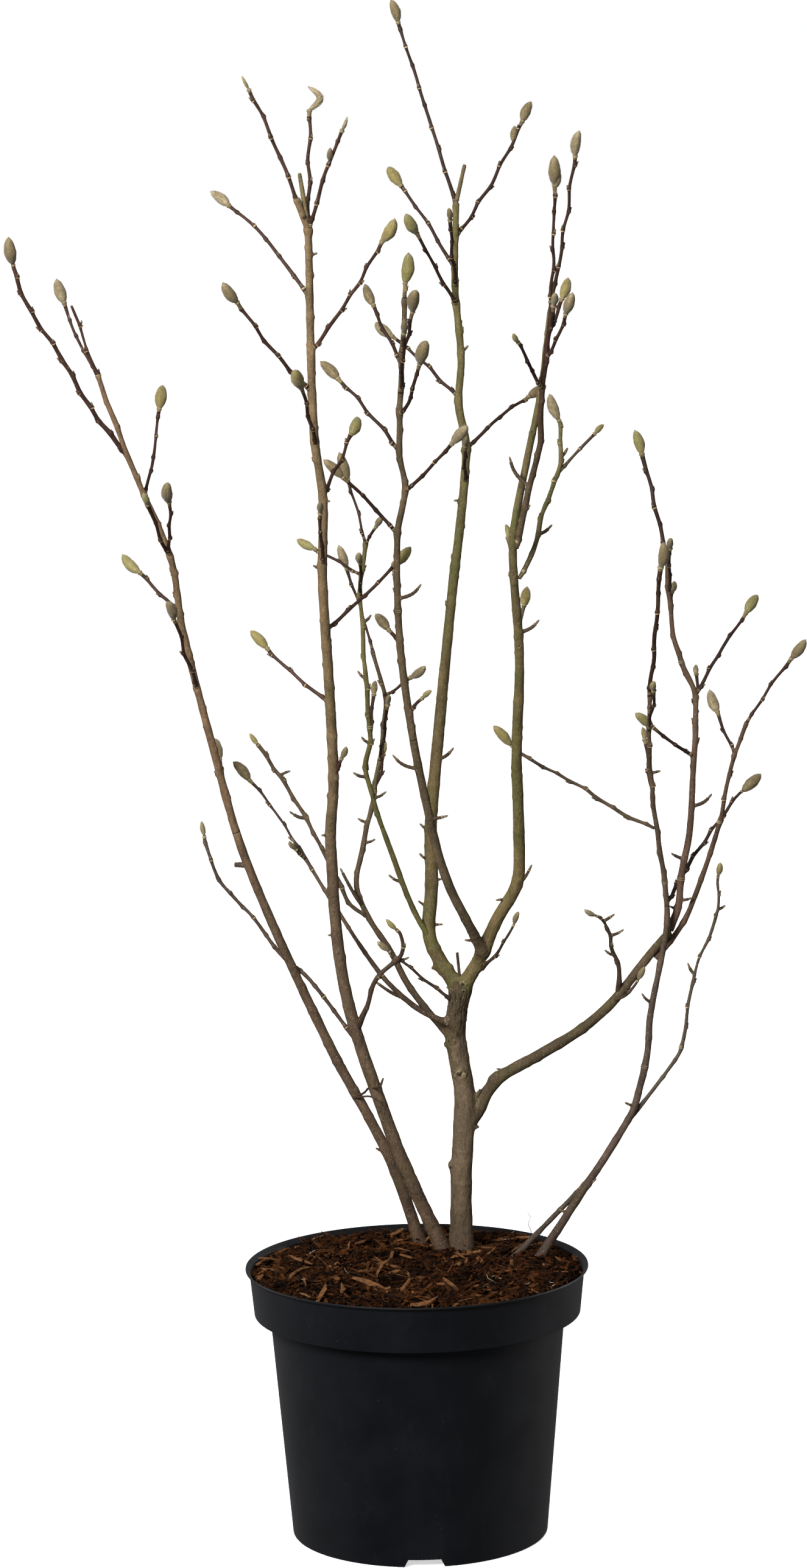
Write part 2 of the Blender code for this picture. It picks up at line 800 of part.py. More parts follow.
def make_pot(collection, cutters):
    outer = [
        (RIM_RADIUS - RIM_WALL + RIM_ROUND, POT_HEIGHT),
        (RIM_RADIUS - RIM_ROUND, POT_HEIGHT),
        (RIM_RADIUS, POT_HEIGHT - RIM_ROUND),
        (RIM_RADIUS, POT_HEIGHT - RIM_DEPTH + RIM_ROUND / 2),
        (BAND_TOP_RADIUS, POT_HEIGHT - RIM_DEPTH),
        (BAND_FOOT_RADIUS, BAND_FOOT_HEIGHT + BAND_ROUND),
        (BAND_FOOT_RADIUS - BAND_ROUND, BAND_FOOT_HEIGHT - WALL),
        (BODY_TOP_RADIUS, BODY_TOP_HEIGHT - WALL),
        (FOOT_RADIUS, 0.0),
        (FOOT_RADIUS - FOOT_WALL, 0.0),
        (FOOT_RADIUS - FOOT_WALL, FLOOR_BOTTOM),
        (PAD_RADIUS + PAD_SLOPE, FLOOR_BOTTOM),
        (PAD_RADIUS, 0.0),
        (0.0, 0.0),
    ]
    profile = [(0.0, FLOOR_TOP)] + inner_wall()[::-1] + outer
    pot = lathe("pot", collection, profile)
    for index in range(NOTCH_COUNT):
        notch = make_notch(cutters, index)
        cut = pot.modifiers.new(notch.name, "BOOLEAN")
        cut.operation = "DIFFERENCE"
        cut.solver = "EXACT"
        cut.object = notch
    finish(pot, POT_BLACK)
    return pot


def make_notch(cutters, index):
    """A tapered block that cuts one drainage notch through the foot of the wall."""
    bpy.ops.mesh.primitive_cube_add(size=1)
    notch = bpy.context.object
    notch.name = f"notch_{index}"
    shape = bmesh.new()
    shape.from_mesh(notch.data)
    for vert in shape.verts:
        width = NOTCH_TOP_WIDTH if vert.co.z > 0 else 2 * NOTCH_FOOT_WIDTH - NOTCH_TOP_WIDTH
        vert.co.x *= width * MM
        vert.co.y *= FOOT_WALL * 4 * MM
        vert.co.z = NOTCH_HEIGHT * MM if vert.co.z > 0 else -NOTCH_HEIGHT * MM
    shape.to_mesh(notch.data)
    shape.free()
    turn = Matrix.Rotation(math.tau * index / NOTCH_COUNT + NOTCH_TURN, 4, "Z")
    notch.matrix_world = turn @ Matrix.Translation((0, -(FOOT_RADIUS - FOOT_WALL / 2) * MM, 0))
    for holder in list(notch.users_collection):
        holder.objects.unlink(notch)
    cutters.objects.link(notch)
    notch.hide_render = True
    notch.display_type = "WIRE"
    return notch


def make_mulch(collection):
    clear = GAP / math.cos(math.pi / TURNED_STEPS)
    wall = [(radius - clear, height) for radius, height in inner_wall()]
    (edge_radius, _), *below = wall[1:]
    profile = [(0.0, SOIL_HEIGHT), (SOIL_FLAT_RADIUS, SOIL_HEIGHT), (edge_radius, SOIL_EDGE_HEIGHT)]
    profile += below[:-1]
    profile += [(below[-1][0], FLOOR_TOP + GAP), (0.0, FLOOR_TOP + GAP)]
    mulch = lathe("bark_mulch", collection, profile)
    finish(mulch, MULCH_BROWN)
    return mulch


def main():
    clear_scene()
    magnolia = new_collection("potted_star_magnolia")
    cutters = new_collection("cutters")
    make_pot(magnolia, cutters)
    make_mulch(magnolia)
    make_plant(magnolia)


main()
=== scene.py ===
"""The looks of the potted star magnolia: bark, twigs, furry buds, bark mulch and pot.

Lengths are in millimetres and turn into metres where a mesh is made. The limbs and the rule by which
twigs grow are those of the part's source, written again here and carried on to finer detail.
"""

import itertools
import math
import random
from dataclasses import dataclass

import bpy
import numpy as np
from mathutils import Matrix, Vector


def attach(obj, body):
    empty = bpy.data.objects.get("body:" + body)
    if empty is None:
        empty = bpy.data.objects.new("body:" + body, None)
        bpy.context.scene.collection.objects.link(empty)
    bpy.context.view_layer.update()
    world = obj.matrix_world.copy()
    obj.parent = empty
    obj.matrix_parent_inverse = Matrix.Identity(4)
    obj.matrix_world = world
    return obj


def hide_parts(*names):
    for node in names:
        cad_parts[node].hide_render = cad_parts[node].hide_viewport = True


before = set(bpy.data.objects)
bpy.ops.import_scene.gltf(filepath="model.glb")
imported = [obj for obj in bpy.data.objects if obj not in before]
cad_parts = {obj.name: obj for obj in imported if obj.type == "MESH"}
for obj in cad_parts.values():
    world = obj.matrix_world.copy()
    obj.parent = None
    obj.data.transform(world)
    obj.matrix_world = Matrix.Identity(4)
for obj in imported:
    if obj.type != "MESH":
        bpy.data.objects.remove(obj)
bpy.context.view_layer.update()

MM = 0.001
UP = Vector((0, 0, 1))
BACK = np.array((0.0, 1.0, 0.0))

# The pot and its filling, as in the part's source
POT_HEIGHT = 271.0
RIM_RADIUS = 170.0
BAND_TOP_RADIUS = 166.0
BAND_FOOT_RADIUS = 161.8
BODY_TOP_RADIUS = 146.0
FOOT_RADIUS = 127.0
WALL = 2.2
FLOOR_BOTTOM = 9.0
FLOOR_TOP = 12.0
FOOT_WALL = 4.0
PAD_RADIUS = 32.0
PAD_SLOPE = 6.0
NOTCH_COUNT = 3
NOTCH_HEIGHT = 8.0
NOTCH_TOP_WIDTH = 32.0
NOTCH_FOOT_WIDTH = 40.0
NOTCH_TURN = math.radians(1.6)
SOIL_HEIGHT = 270.0
SOIL_EDGE_HEIGHT = 263.5
SOIL_FLAT_RADIUS = 128.0

# Limbs, twigs and buds, as in the part's source
LIMB_STEP = 30.0
TAPER = 0.85
FLARE_FADE = 14.0
BELOW_SOIL = 12.0
SEED = 41
TWIG_RADIUS = 2.0
TWIG_END_RADIUS = 1.5
NODE_SPACING = 26.0
ZIGZAG = 0.9
SPARE_SAG = 0.15
BUD_LENGTH = 25.0
BUD_RADIUS = 6.2
SHORT_SHOOT = 45.0
SHORT_BUD = 0.55
BUD_RINGS = ((0.0, 0.4), (0.14, 0.7), (0.44, 1.0), (0.78, 0.78), (1.0, 0.16))
SHORT_BUD_RADIUS = 1.4
SKIP_CLEARANCE = 1.5
ROOT_LENGTH = 14.0
SPARE_TRIES = 6
SPARE_REACH = (70.0, 115.0)
SPARE_RISE = (55.0, 95.0)
SPARE_SIDEWAYS = 3.0
SPARE_VIEW_SLOPE = 0.147
SPARE_ABOVE_CROWN = 30
SPARE_BELOW_TIP = 20


@dataclass
class Limb:
    """One tapering limb.

    knots are places it passes through. seats names the limbs that its foot rests on, or "soil".
    Above crown_from it belongs to a crown of twigs, and joins names the crown of another limb
    where it has none of its own. A shoot is (height of its root, then how far its bud's tip lies
    to the right, to the back and up from there, and how much it sags before it turns up). small
    lists the shoots that end in a small bud, and spare is how many more shoots a rule adds.
    """

    knots: tuple
    radii: tuple
    seats: tuple = ()
    crown_from: float = math.inf
    joins: str = ""
    shoots: tuple = ()
    small: tuple = ()
    spare: int = 0
    flare: float = 0.0
    bud: bool = False


LIMBS = {
    "trunk": Limb(
        knots=((45, 66, 270), (46, 64, 345), (50, 62, 430), (45, 61, 465), (42, 60, 498), (47, 60, 535)),
        radii=(10.5, 9.8), seats=("soil",), flare=3.0,
    ),
    "left": Limb(
        knots=(
            (27, 62, 270), (-1, 53, 335), (-26, 42, 402), (-67, 14, 547), (-78, -31, 700), (-74, -54, 763),
            (-76, -91, 860), (-80, -133, 969), (-78, -157, 1046), (-85, -178, 1110), (-86, -234, 1300),
        ),
        radii=(7.4, 2.9), seats=("soil", "trunk"), crown_from=735, small=(0, 2), spare=3, flare=1.5,
        shoots=(
            (1299, -56, -40, 137, -0.15), (1299, 2, 75, 128, 0.1), (1297, 38, -56, 101, -0.2),
            (1235, -92, 75, 95, -0.25), (1186, 78, -75, 122, 0.15), (1147, -77, -62, 105, 0.15),
            (1094, -15, -94, 77, -0.1), (1048, 33, 81, 69, 0.1), (918, 82, 62, 72, 0.1),
            (843, -76, 44, 67, 0.1), (768, 12, -19, 33, 0.2),
        ),
    ),
    "far_left": Limb(
        knots=(
            (4, 88, 270), (-12, 86, 322), (-32, 84, 374), (-85, 78, 479), (-163, 51, 670), (-194, 27, 792),
            (-219, -3, 910), (-228, -21, 979), (-260, -46, 1065), (-290, -72, 1155), (-313, -91, 1226),
        ),
        radii=(6.0, 1.4), seats=("soil",), crown_from=700, spare=2, flare=1.5,
        shoots=(
            (1160, -40, 56, 89, 0.3), (1041, 14, 88, 101, 0.35), (981, 4, -75, 78, 0.15),
            (923, -58, 50, 54, 0.0), (845, -23, -87, 97, 0.0), (742, -9, 56, 47, 0.2),
        ),
    ),
    "far_left_side": Limb(
        knots=(
            (-265, -50, 1080), (-298, -70, 1127), (-325, -90, 1180), (-354, -110, 1230), (-371, -130, 1291),
        ),
        radii=(2.3, 1.5), crown_from=0, joins="far_left", bud=True,
    ),
    "centre": Limb(
        knots=(
            (47, 60, 536), (28, 68, 563), (17, 73, 590), (20, 82, 635), (20, 92, 695), (25, 103, 748),
            (43, 133, 910), (61, 152, 1066), (54, 157, 1112), (57, 162, 1157), (52, 169, 1229),
            (54, 178, 1311),
        ),
        radii=(7.4, 3.1), seats=("trunk",), crown_from=900, spare=4,
        shoots=(
            (1308, -62, 25, 204, -0.05), (1277, 79, 75, 133, 0.2), (1247, -66, 62, 99, -0.1),
            (1208, -49, -75, 95, 0.0), (1118, -83, 75, 72, -0.1), (1068, 83, 62, 57, -0.15),
        ),
    ),
    "right": Limb(
        knots=(
            (48, 60, 536), (65, 54, 565), (84, 43, 609), (104, 31, 648), (106, 16, 699), (104, -9, 781),
            (107, -42, 881), (101, -80, 996), (114, -100, 1073), (127, -116, 1137), (137, -137, 1218),
        ),
        radii=(7.0, 2.8), seats=("trunk", "centre"), crown_from=870, spare=2,
        shoots=((1215, 26, -47, 168, 0.1), (1196, 21, 44, 51, 0.2), (893, 9, 56, 51, 0.1)),
    ),
    "right_dark": Limb(
        knots=((104, -79, 990), (117, -111, 1054), (126, -130, 1092), (127, -147, 1133), (137, -175, 1225)),
        radii=(3.0, 2.2), crown_from=0, joins="right", small=(2,),
        shoots=((1222, 3, -45, 139, 0.0), (1174, 23, -50, 64, 0.3), (1145, -28, -62, 55, 0.0)),
    ),
    "right_side": Limb(
        knots=(
            (107, -69, 960), (121, -55, 985), (131, -41, 1021), (147, -27, 1061), (149, -13, 1101),
            (141, -4, 1131),
        ),
        radii=(2.6, 1.6), crown_from=0, joins="right", small=(0,), bud=True,
        shoots=((1056, 46, 25, 45, 0.0),),
    ),
    "centre_left": Limb(
        knots=(
            (70, 48, 576), (53, 22, 614), (38, 8, 647), (26, -6, 686), (13, -24, 749), (3, -38, 805),
            (-8, -63, 899), (-9, -80, 1004), (-1, -88, 1048), (-6, -94, 1086), (1, -114, 1230),
        ),
        radii=(5.2, 2.2), seats=("right",), crown_from=800, spare=2,
        shoots=(
            (1227, 2, -5, 45, 0.0), (1178, 14, -56, 62, 0.2), (1167, -34, 56, 74, 0.1),
            (1120, 24, -75, 74, 0.4), (1085, -74, 69, 81, -0.1), (1046, 58, -62, 66, 0.1),
            (1005, -69, -20, 72, -0.1), (896, -22, 31, 27, 0.0), (827, 22, -25, 22, -0.3),
        ),
    ),
    "low_right": Limb(
        knots=(
            (50, 64, 398), (63, 64, 411), (74, 64, 432), (88, 64, 447), (130, 70, 469), (168, 76, 491),
            (200, 80, 518), (234, 84, 560), (257, 85, 587),
        ),
        radii=(6.8, 4.0), seats=("trunk",),
    ),
    "outer_right": Limb(
        knots=(
            (257, 85, 589), (266, 84, 612), (269, 82, 643), (278, 92, 685), (283, 110, 740),
            (287, 138, 818), (274, 151, 852), (267, 162, 879), (261, 180, 960),
        ),
        radii=(3.8, 2.0), seats=("low_right",), crown_from=735, spare=2,
        shoots=(
            (957, -29, 25, 123, -0.15), (818, 69, 62, 93, -0.1), (759, -59, -44, 51, 0.1),
            (903, 5, 31, 24, 0.0),
        ),
    ),
    "far_right": Limb(
        knots=(
            (243, 86, 560), (264, 91, 584), (279, 88, 612), (307, 60, 705), (315, 48, 752), (331, 34, 804),
        ),
        radii=(3.0, 1.9), seats=("low_right", "outer_right"), crown_from=690,
        shoots=((802, 57, -25, 85, -0.1), (771, -21, 56, 58, 0.1)),
    ),
    "right_stem": Limb(
        knots=(
            (122, 24, 270), (148, 30, 308), (215, 47, 408), (225, 51, 437), (233, 55, 472), (236, 60, 506),
            (253, 70, 590), (254, 73, 621), (242, 51, 707), (235, 23, 775), (234, -11, 839),
        ),
        radii=(4.4, 1.9), seats=("soil",), crown_from=612, spare=2, flare=1.0,
        shoots=((836, 9, -73, 157, 0.1),),
    ),
    "behind_right": Limb(
        knots=(
            (255, 72, 620), (263, 88, 630), (271, 98, 642), (284, 105, 661), (328, 127, 716),
            (352, 138, 738),
        ),
        radii=(2.2, 1.5), crown_from=0, joins="right_stem", bud=True,
    ),
    "long_left": Limb(
        knots=((241, 53, 697), (208, 53, 713), (166, 48, 742), (110, 38, 775), (81, 32, 802)),
        radii=(2.1, 1.5), crown_from=0, joins="right_stem", bud=True,
    ),
    "thin_right": Limb(
        knots=(
            (102, 45, 270), (128, 45, 297), (171, 48, 342), (207, 55, 392), (253, 44, 456), (265, 40, 477),
            (278, 18, 558), (299, -8, 622), (298, -21, 654), (300, -30, 675),
        ),
        radii=(2.8, 1.3), seats=("soil",), crown_from=485, flare=0.8, bud=True,
    ),
    "left_low": Limb(
        knots=(
            (42, 54, 500), (13, 46, 515), (-5, 44, 528), (-32, 44, 556), (-76, 51, 623), (-112, 74, 681),
        ),
        radii=(3.2, 1.7), seats=("trunk",), crown_from=590,
        shoots=((679, -66, 43, 80, -0.15), (668, -16, -14, 22, 0.2)),
    ),
    "left_back": Limb(
        knots=(
            (44, 62, 478), (-2, 88, 532), (-23, 103, 570), (-42, 115, 598), (-55, 127, 628),
            (-51, 135, 658), (-36, 151, 723), (-24, 172, 814), (-36, 182, 863),
        ),
        radii=(3.0, 1.8), seats=("trunk",), crown_from=588, spare=2,
        shoots=((861, -34, 15, 107, -0.15), (818, 41, -37, 35, 0.1)),
    ),
    "left_back_side": Limb(
        knots=((-42, 115, 598), (-62, 116, 615), (-75, 118, 642), (-114, 141, 714), (-161, 174, 781)),
        radii=(2.0, 1.3), crown_from=0, joins="left_back", bud=True,
    ),
    "inner_left": Limb(
        knots=(
            (20, 71, 582), (2, 66, 616), (-15, 62, 663), (-43, 58, 756), (-39, 55, 792), (-42, 53, 847),
            (-46, 52, 944), (-40, 52, 986),
        ),
        radii=(3.0, 1.7), seats=("centre",), crown_from=700, spare=2,
        shoots=((984, -25, 0, 89, -0.15), (953, -63, 50, 31, 0.0), (982, 17, -25, 31, 0.0)),
    ),
    "trunk_twig": Limb(
        knots=((44, 58, 524), (30, 50, 534), (-10, 34, 570), (-34, 29, 591)),
        radii=(2.0, 1.3), seats=("trunk",), crown_from=0, bud=True,
    ),
    "left_front_twig": Limb(
        knots=(
            (-56, 22, 505), (-45, 10, 532), (-35, 4, 561), (-12, -3, 582), (-12, -11, 606), (-25, -14, 621),
        ),
        radii=(2.6, 1.3), seats=("left",), crown_from=0, bud=True,
    ),
    "left_back_twig": Limb(
        knots=(
            (-52, 24, 486), (-102, 66, 546), (-131, 90, 568), (-161, 106, 606), (-193, 118, 641),
            (-212, 134, 697),
        ),
        radii=(2.2, 1.3), seats=("left",), crown_from=0, bud=True,
    ),
    "low_right_twig": Limb(
        knots=(
            (205, 80, 529), (206, 74, 556), (198, 69, 575), (197, 65, 589), (189, 59, 604), (172, 49, 618),
        ),
        radii=(2.0, 1.3), seats=("low_right",), crown_from=0, bud=True,
    ),
    "low_right_spur": Limb(
        knots=((197, 80, 518), (214, 66, 528), (232, 58, 555)),
        radii=(1.8, 1.3), seats=("low_right",), crown_from=0, bud=True,
    ),
    "right_low_twig": Limb(
        knots=((69, 52, 558), (86, 33, 581), (100, 22, 607), (102, 17, 622)),
        radii=(2.0, 1.3), seats=("right",), crown_from=0, bud=True,
    ),
}


def stacked(*columns):
    """Values side by side, as rows of places, faces or colours."""
    return np.stack(columns, axis=-1)


def unit(vector):
    return vector / np.linalg.norm(vector)


def bell(values, middle, width):
    """1 at the middle, and smoothly down to 0 on both sides."""
    return np.exp(-(((values - middle) / width) ** 2))


def turn_from(angles, angle):
    """How far angles are turned from one angle, from minus to plus half a turn."""
    return (angles - angle + math.pi) % math.tau - math.pi


# The growth rule of the source


def smooth_path(knots, step):
    """Points about step apart on a smooth curve through the knots."""
    places = [Vector(knot) for knot in knots]
    lengths = [(b - a).length for a, b in zip(places, places[1:])]
    slopes = [(places[1] - places[0]) / lengths[0]]
    for before, after, first, second in zip(places, places[2:], lengths, lengths[1:]):
        slopes.append((after - before) / (first + second))
    slopes.append((places[-1] - places[-2]) / lengths[-1])
    points = [places[0]]
    for a, b, slope_a, slope_b, length in zip(places, places[1:], slopes, slopes[1:], lengths):
        count = max(1, round(length / step))
        for i in range(1, count + 1):
            t = i / count
            points.append(
                a * (2 * t**3 - 3 * t**2 + 1)
                + slope_a * length * (t**3 - 2 * t**2 + t)
                + b * (3 * t**2 - 2 * t**3)
                + slope_b * length * (t**3 - t**2)
            )
    return points


def shares_along(points):
    """How far along the path each point lies, from 0 to 1."""
    run = [0.0]
    for a, b in zip(points, points[1:]):
        run.append(run[-1] + (b - a).length)
    return [value / run[-1] for value in run]


def limb_radii(limb, points):
    """The limb's radius at each point, with its flare at the soil."""
    foot, tip = limb.radii
    radii = []
    for point, share in zip(points, shares_along(points)):
        swell = limb.flare * math.exp(-abs(point.z - SOIL_HEIGHT) / FLARE_FADE)
        radii.append(foot + (tip - foot) * share**TAPER + swell)
    return radii


def at_height(points, radii, height):
    """The place, radius and direction of a limb where it reaches a height."""
    for a, b, ra, rb in zip(points, points[1:], radii, radii[1:]):
        if b.z >= height:
            t = max(0.0, (height - a.z) / (b.z - a.z))
            return a.lerp(b, t), ra + (rb - ra) * t, (b - a).normalized()
    return points[-1].copy(), radii[-1], (points[-1] - points[-2]).normalized()


def bud_end(points, radii, size):
    """A path carried on into a pointed bud of a share of the full size."""
    along = (points[-1] - points[-2]).normalized()
    start = points[-1].copy()
    for place, width in BUD_RINGS[1:]:
        points.append(start + along * BUD_LENGTH * size * place)
        radii.append(BUD_RADIUS * size * width)
    return points, radii


def shoot_path(root, reach, sag, rng, parent_radius, small=False):
    """A twig that leaves its limb, turns up, jogs a little at each node and ends in a bud."""
    heading = reach.normalized()
    size = (SHORT_BUD if small or reach.length < SHORT_SHOOT else 1.0) * rng.uniform(0.88, 1.1)
    tip = root + reach
    leaving = (heading - UP * sag).normalized()
    arriving = (heading + UP * sag).normalized()
    base = tip - arriving * BUD_LENGTH * size
    third = (base - root).length / 3
    curve = (root, root + leaving * third, base - arriving * third, base)
    sideways = heading.cross(UP)
    sideways = sideways.normalized() if sideways.length > 0.1 else Vector((1, 0, 0))
    count = max(2, round((base - root).length / NODE_SPACING))
    points, radii = [], []
    side = rng.choice((-1, 1))
    widest = min(TWIG_RADIUS, parent_radius * 0.8)
    for i in range(count + 1):
        t = i / count
        u = 1 - t
        point = curve[0] * u**3 + curve[1] * 3 * u * u * t + curve[2] * 3 * u * t * t + curve[3] * t**3
        if 0 < i < count:
            point += sideways * side * ZIGZAG * rng.uniform(0.6, 1.2)
            side = -side
        points.append(point)
        radii.append(widest + (min(TWIG_END_RADIUS, widest) - widest) * t)
    return bud_end(points, radii, size)


def dense(points, radii, step=4.0):
    """Rows of x, y, z and radius along a path, for measuring clearances."""
    rows = []
    for a, b, ra, rb in zip(points, points[1:], radii, radii[1:]):
        count = max(1, math.ceil((b - a).length / step))
        for i in range(count):
            t = i / count
            rows.append((*a.lerp(b, t), ra + (rb - ra) * t))
    rows.append((*points[-1], radii[-1]))
    return np.array(rows)


def touches(rows, taken, crown):
    """Whether a twig comes too near a limb or twig that isn't in its own crown."""
    for owner, others in taken:
        if owner == crown:
            continue
        apart = np.linalg.norm(rows[:, None, :3] - others[None, :, :3], axis=2)
        if (apart - rows[:, None, 3] - others[None, :, 3]).min() < SKIP_CLEARANCE:
            return True
    return False


def plan_limbs():
    """The twigs of each limb as (points, radii), with those that would touch left out."""
    paths, twigs, taken = {}, {}, []
    for name, limb in LIMBS.items():
        points = smooth_path(limb.knots, LIMB_STEP)
        paths[name] = (points, limb_radii(limb, points))
        twigs[name] = []
        taken.append((limb.joins or name, dense(*paths[name])))
    for name, limb in LIMBS.items():
        for index, (height, right, back, rise, sag) in enumerate(limb.shoots):
            rng = random.Random(f"{SEED} {name} {index}")
            root, radius, _ = at_height(*paths[name], height)
            reach = Vector((right, back, rise))
            twig = shoot_path(root, reach, sag, rng, radius, index in limb.small)
            keep_if_clear(twig, limb.joins or name, name, twigs, taken)
    for name, limb in LIMBS.items():
        add_spare_shoots(name, limb, paths[name], twigs, taken)
    return twigs


def keep_if_clear(twig, crown, name, twigs, taken):
    """Takes a twig up, unless it touches something, and says whether it did."""
    rows = dense(*twig)
    free = rows[np.linalg.norm(rows[:, :3] - rows[0, :3], axis=1) > ROOT_LENGTH]
    if touches(free, taken, crown):
        return False
    twigs[name].append(twig)
    taken.append((crown, rows))
    return True


def add_spare_shoots(name, limb, path, twigs, taken):
    """Shoots to the back and the front by turns, in line with their limb as seen from the front."""
    points, radii = path
    low = max(limb.crown_from, points[0].z) + SPARE_ABOVE_CROWN
    high = points[-1].z - SPARE_BELOW_TIP
    for index in range(limb.spare):
        side = 1 if index % 2 == 0 else -1
        for attempt in range(SPARE_TRIES):
            rng = random.Random(f"{SEED} spare {name} {index} {attempt}")
            height = low + (high - low) * (index + rng.random()) / limb.spare
            root, radius, along = at_height(points, radii, height)
            rise = rng.uniform(*SPARE_RISE)
            back = side * rng.uniform(*SPARE_REACH)
            slope = along.x / max(along.z, 0.3)
            right = slope * (rise + back * SPARE_VIEW_SLOPE) + rng.uniform(-1, 1) * SPARE_SIDEWAYS
            reach = Vector((right, back, rise))
            twig = shoot_path(root, reach, SPARE_SAG, rng, radius)
            if keep_if_clear(twig, limb.joins or name, name, twigs, taken):
                break


def budded(limb, points, radii):
    """A limb whose last knot is the tip of a bud, with the bud on its end."""
    if not limb.bud:
        return points, radii
    size = SHORT_BUD if limb.radii[1] < SHORT_BUD_RADIUS else 1.0
    along = (points[-1] - points[-2]).normalized()
    base = points[-1] - along * BUD_LENGTH * size
    kept = [(p, r) for p, r in zip(points, radii) if (p - points[-1]).length > BUD_LENGTH * size + 4]
    return bud_end([p for p, _ in kept] + [base], [r for _, r in kept] + [radii[-1]], size)


# Meshes built from arrays


class Batch:
    """The vertices and faces of one piece, gathered in millimetres."""

    def __init__(self):
        self.verts, self.faces, self.count = [], [], 0

    def add(self, verts, *faces):
        verts = np.asarray(verts, float).reshape(-1, 3)
        self.verts.append(verts)
        for rows in faces:
            if len(rows):
                self.faces.append(np.asarray(rows) + self.count)
        self.count += len(verts)

    def mesh(self, name):
        faces = itertools.chain.from_iterable(rows.tolist() for rows in self.faces)
        made = bpy.data.meshes.new(name)
        made.from_pydata((np.concatenate(self.verts) * MM).tolist(), [], list(faces))
        return made

    def piece(self, name, look, slot, *nodes, smooth=True):
        mesh = self.mesh(name)
        if smooth:
            mesh.shade_smooth()
        mesh.materials.append(look)
        return add_piece(name, mesh, slot, *nodes)


def linked(name, data):
    """A new object in the scene."""
    obj = bpy.data.objects.new(name, data)
    bpy.context.scene.collection.objects.link(obj)
    return obj


def add_piece(name, mesh, slot, *nodes):
    """A piece on the part's one body, in the place of the solids that it replaces."""
    obj = linked(name, mesh)
    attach(obj, "root")
    if nodes:
        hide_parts(*nodes)
    return obj


def pairs_round(sides):
    """The numbers of a ring's corners, and of the corner after each."""
    near = np.arange(sides)
    return near, (near + 1) % sides


def tube_faces(rings, sides):
    """The quads of a tube of rings, and the fans from its two ends to a point each."""
    ring, turn = np.meshgrid(np.arange(rings - 1), np.arange(sides), indexing="ij")
    a = ring * sides + turn
    b = ring * sides + (turn + 1) % sides
    quads = stacked(a, b, b + sides, a + sides).reshape(-1, 4)
    near, far = pairs_round(sides)
    last = (rings - 1) * sides
    start = stacked(far, near, np.full(sides, rings * sides))
    end = stacked(near + last, far + last, np.full(sides, rings * sides + 1))
    return quads, start, end


def lattice(cells, seed):
    """A repeatable value from -1 to 1 for each whole-numbered place."""
    x, y, z = cells[..., 0], cells[..., 1], cells[..., 2]
    mixed = x * 73856093 ^ y * 19349663 ^ z * 83492791 ^ (seed * 9781 + 17)
    mixed = (mixed ^ (mixed >> 13)) * 1274126177
    return ((mixed >> 8) & 0xFFFF) / 32768.0 - 1.0


def rough(places, size, seed=0):
    """Smooth noise from -1 to 1, with lumps of about that size."""
    scaled = np.asarray(places, float) / size
    cell = np.floor(scaled).astype(np.int64)
    t = scaled - cell
    t = t * t * (3 - 2 * t)
    total = 0.0
    for corner in itertools.product((0, 1), repeat=3):
        weight = np.where(np.array(corner, bool), t, 1 - t).prod(axis=-1)
        total = total + weight * lattice(cell + np.array(corner), seed)
    return total


class Path:
    """A centre line with its radii and a frame that turns as little as it can."""

    def __init__(self, points, radii):
        self.points = np.array([tuple(p) for p in points], float)
        self.radii = np.ones(len(self.points)) if radii is None else np.array(radii, float)
        along = np.gradient(self.points, axis=0)
        self.along = along / np.linalg.norm(along, axis=1)[:, None]
        steps = np.linalg.norm(np.diff(self.points, axis=0), axis=1)
        self.run = np.concatenate([[0.0], np.cumsum(steps)])
        side = np.cross(self.along[0], (0.35, 0.9, 0.2))
        sides = []
        for a in self.along:
            side = side - a * (side @ a)
            side = unit(side)
            sides.append(side)
        self.side = np.array(sides)
        self.up = np.cross(self.along, self.side)

    def at(self, run):
        """The place, radius and direction at a distance from the start."""
        i = int(np.clip(np.searchsorted(self.run, run), 1, len(self.run) - 1))
        t = (run - self.run[i - 1]) / max(self.run[i] - self.run[i - 1], 1e-9)
        place = self.points[i - 1] * (1 - t) + self.points[i] * t
        return place, float(self.radii[i - 1] * (1 - t) + self.radii[i] * t), self.along[i]

    def outward(self, run, angle):
        i = int(np.clip(np.searchsorted(self.run, run), 0, len(self.run) - 1))
        return self.side[i] * math.cos(angle) + self.up[i] * math.sin(angle)

    def angle_of(self, run, direction):
        """The angle about the path at which a direction points away from it."""
        i = int(np.clip(np.searchsorted(self.run, run), 0, len(self.run) - 1))
        return math.atan2(float(self.up[i] @ direction), float(self.side[i] @ direction))

    def run_at_height(self, height):
        above = np.nonzero(self.points[:, 2] >= height)[0]
        return float(self.run[above[0]] if len(above) else self.run[-1])

    def part(self, low, high):
        """The stretch between two distances, with its own frame kept."""
        rows = np.nonzero((self.run >= low) & (self.run <= high))[0]
        made = Path.__new__(Path)
        for field in ("points", "radii", "along", "run", "side", "up"):
            setattr(made, field, getattr(self, field)[rows])
        return made


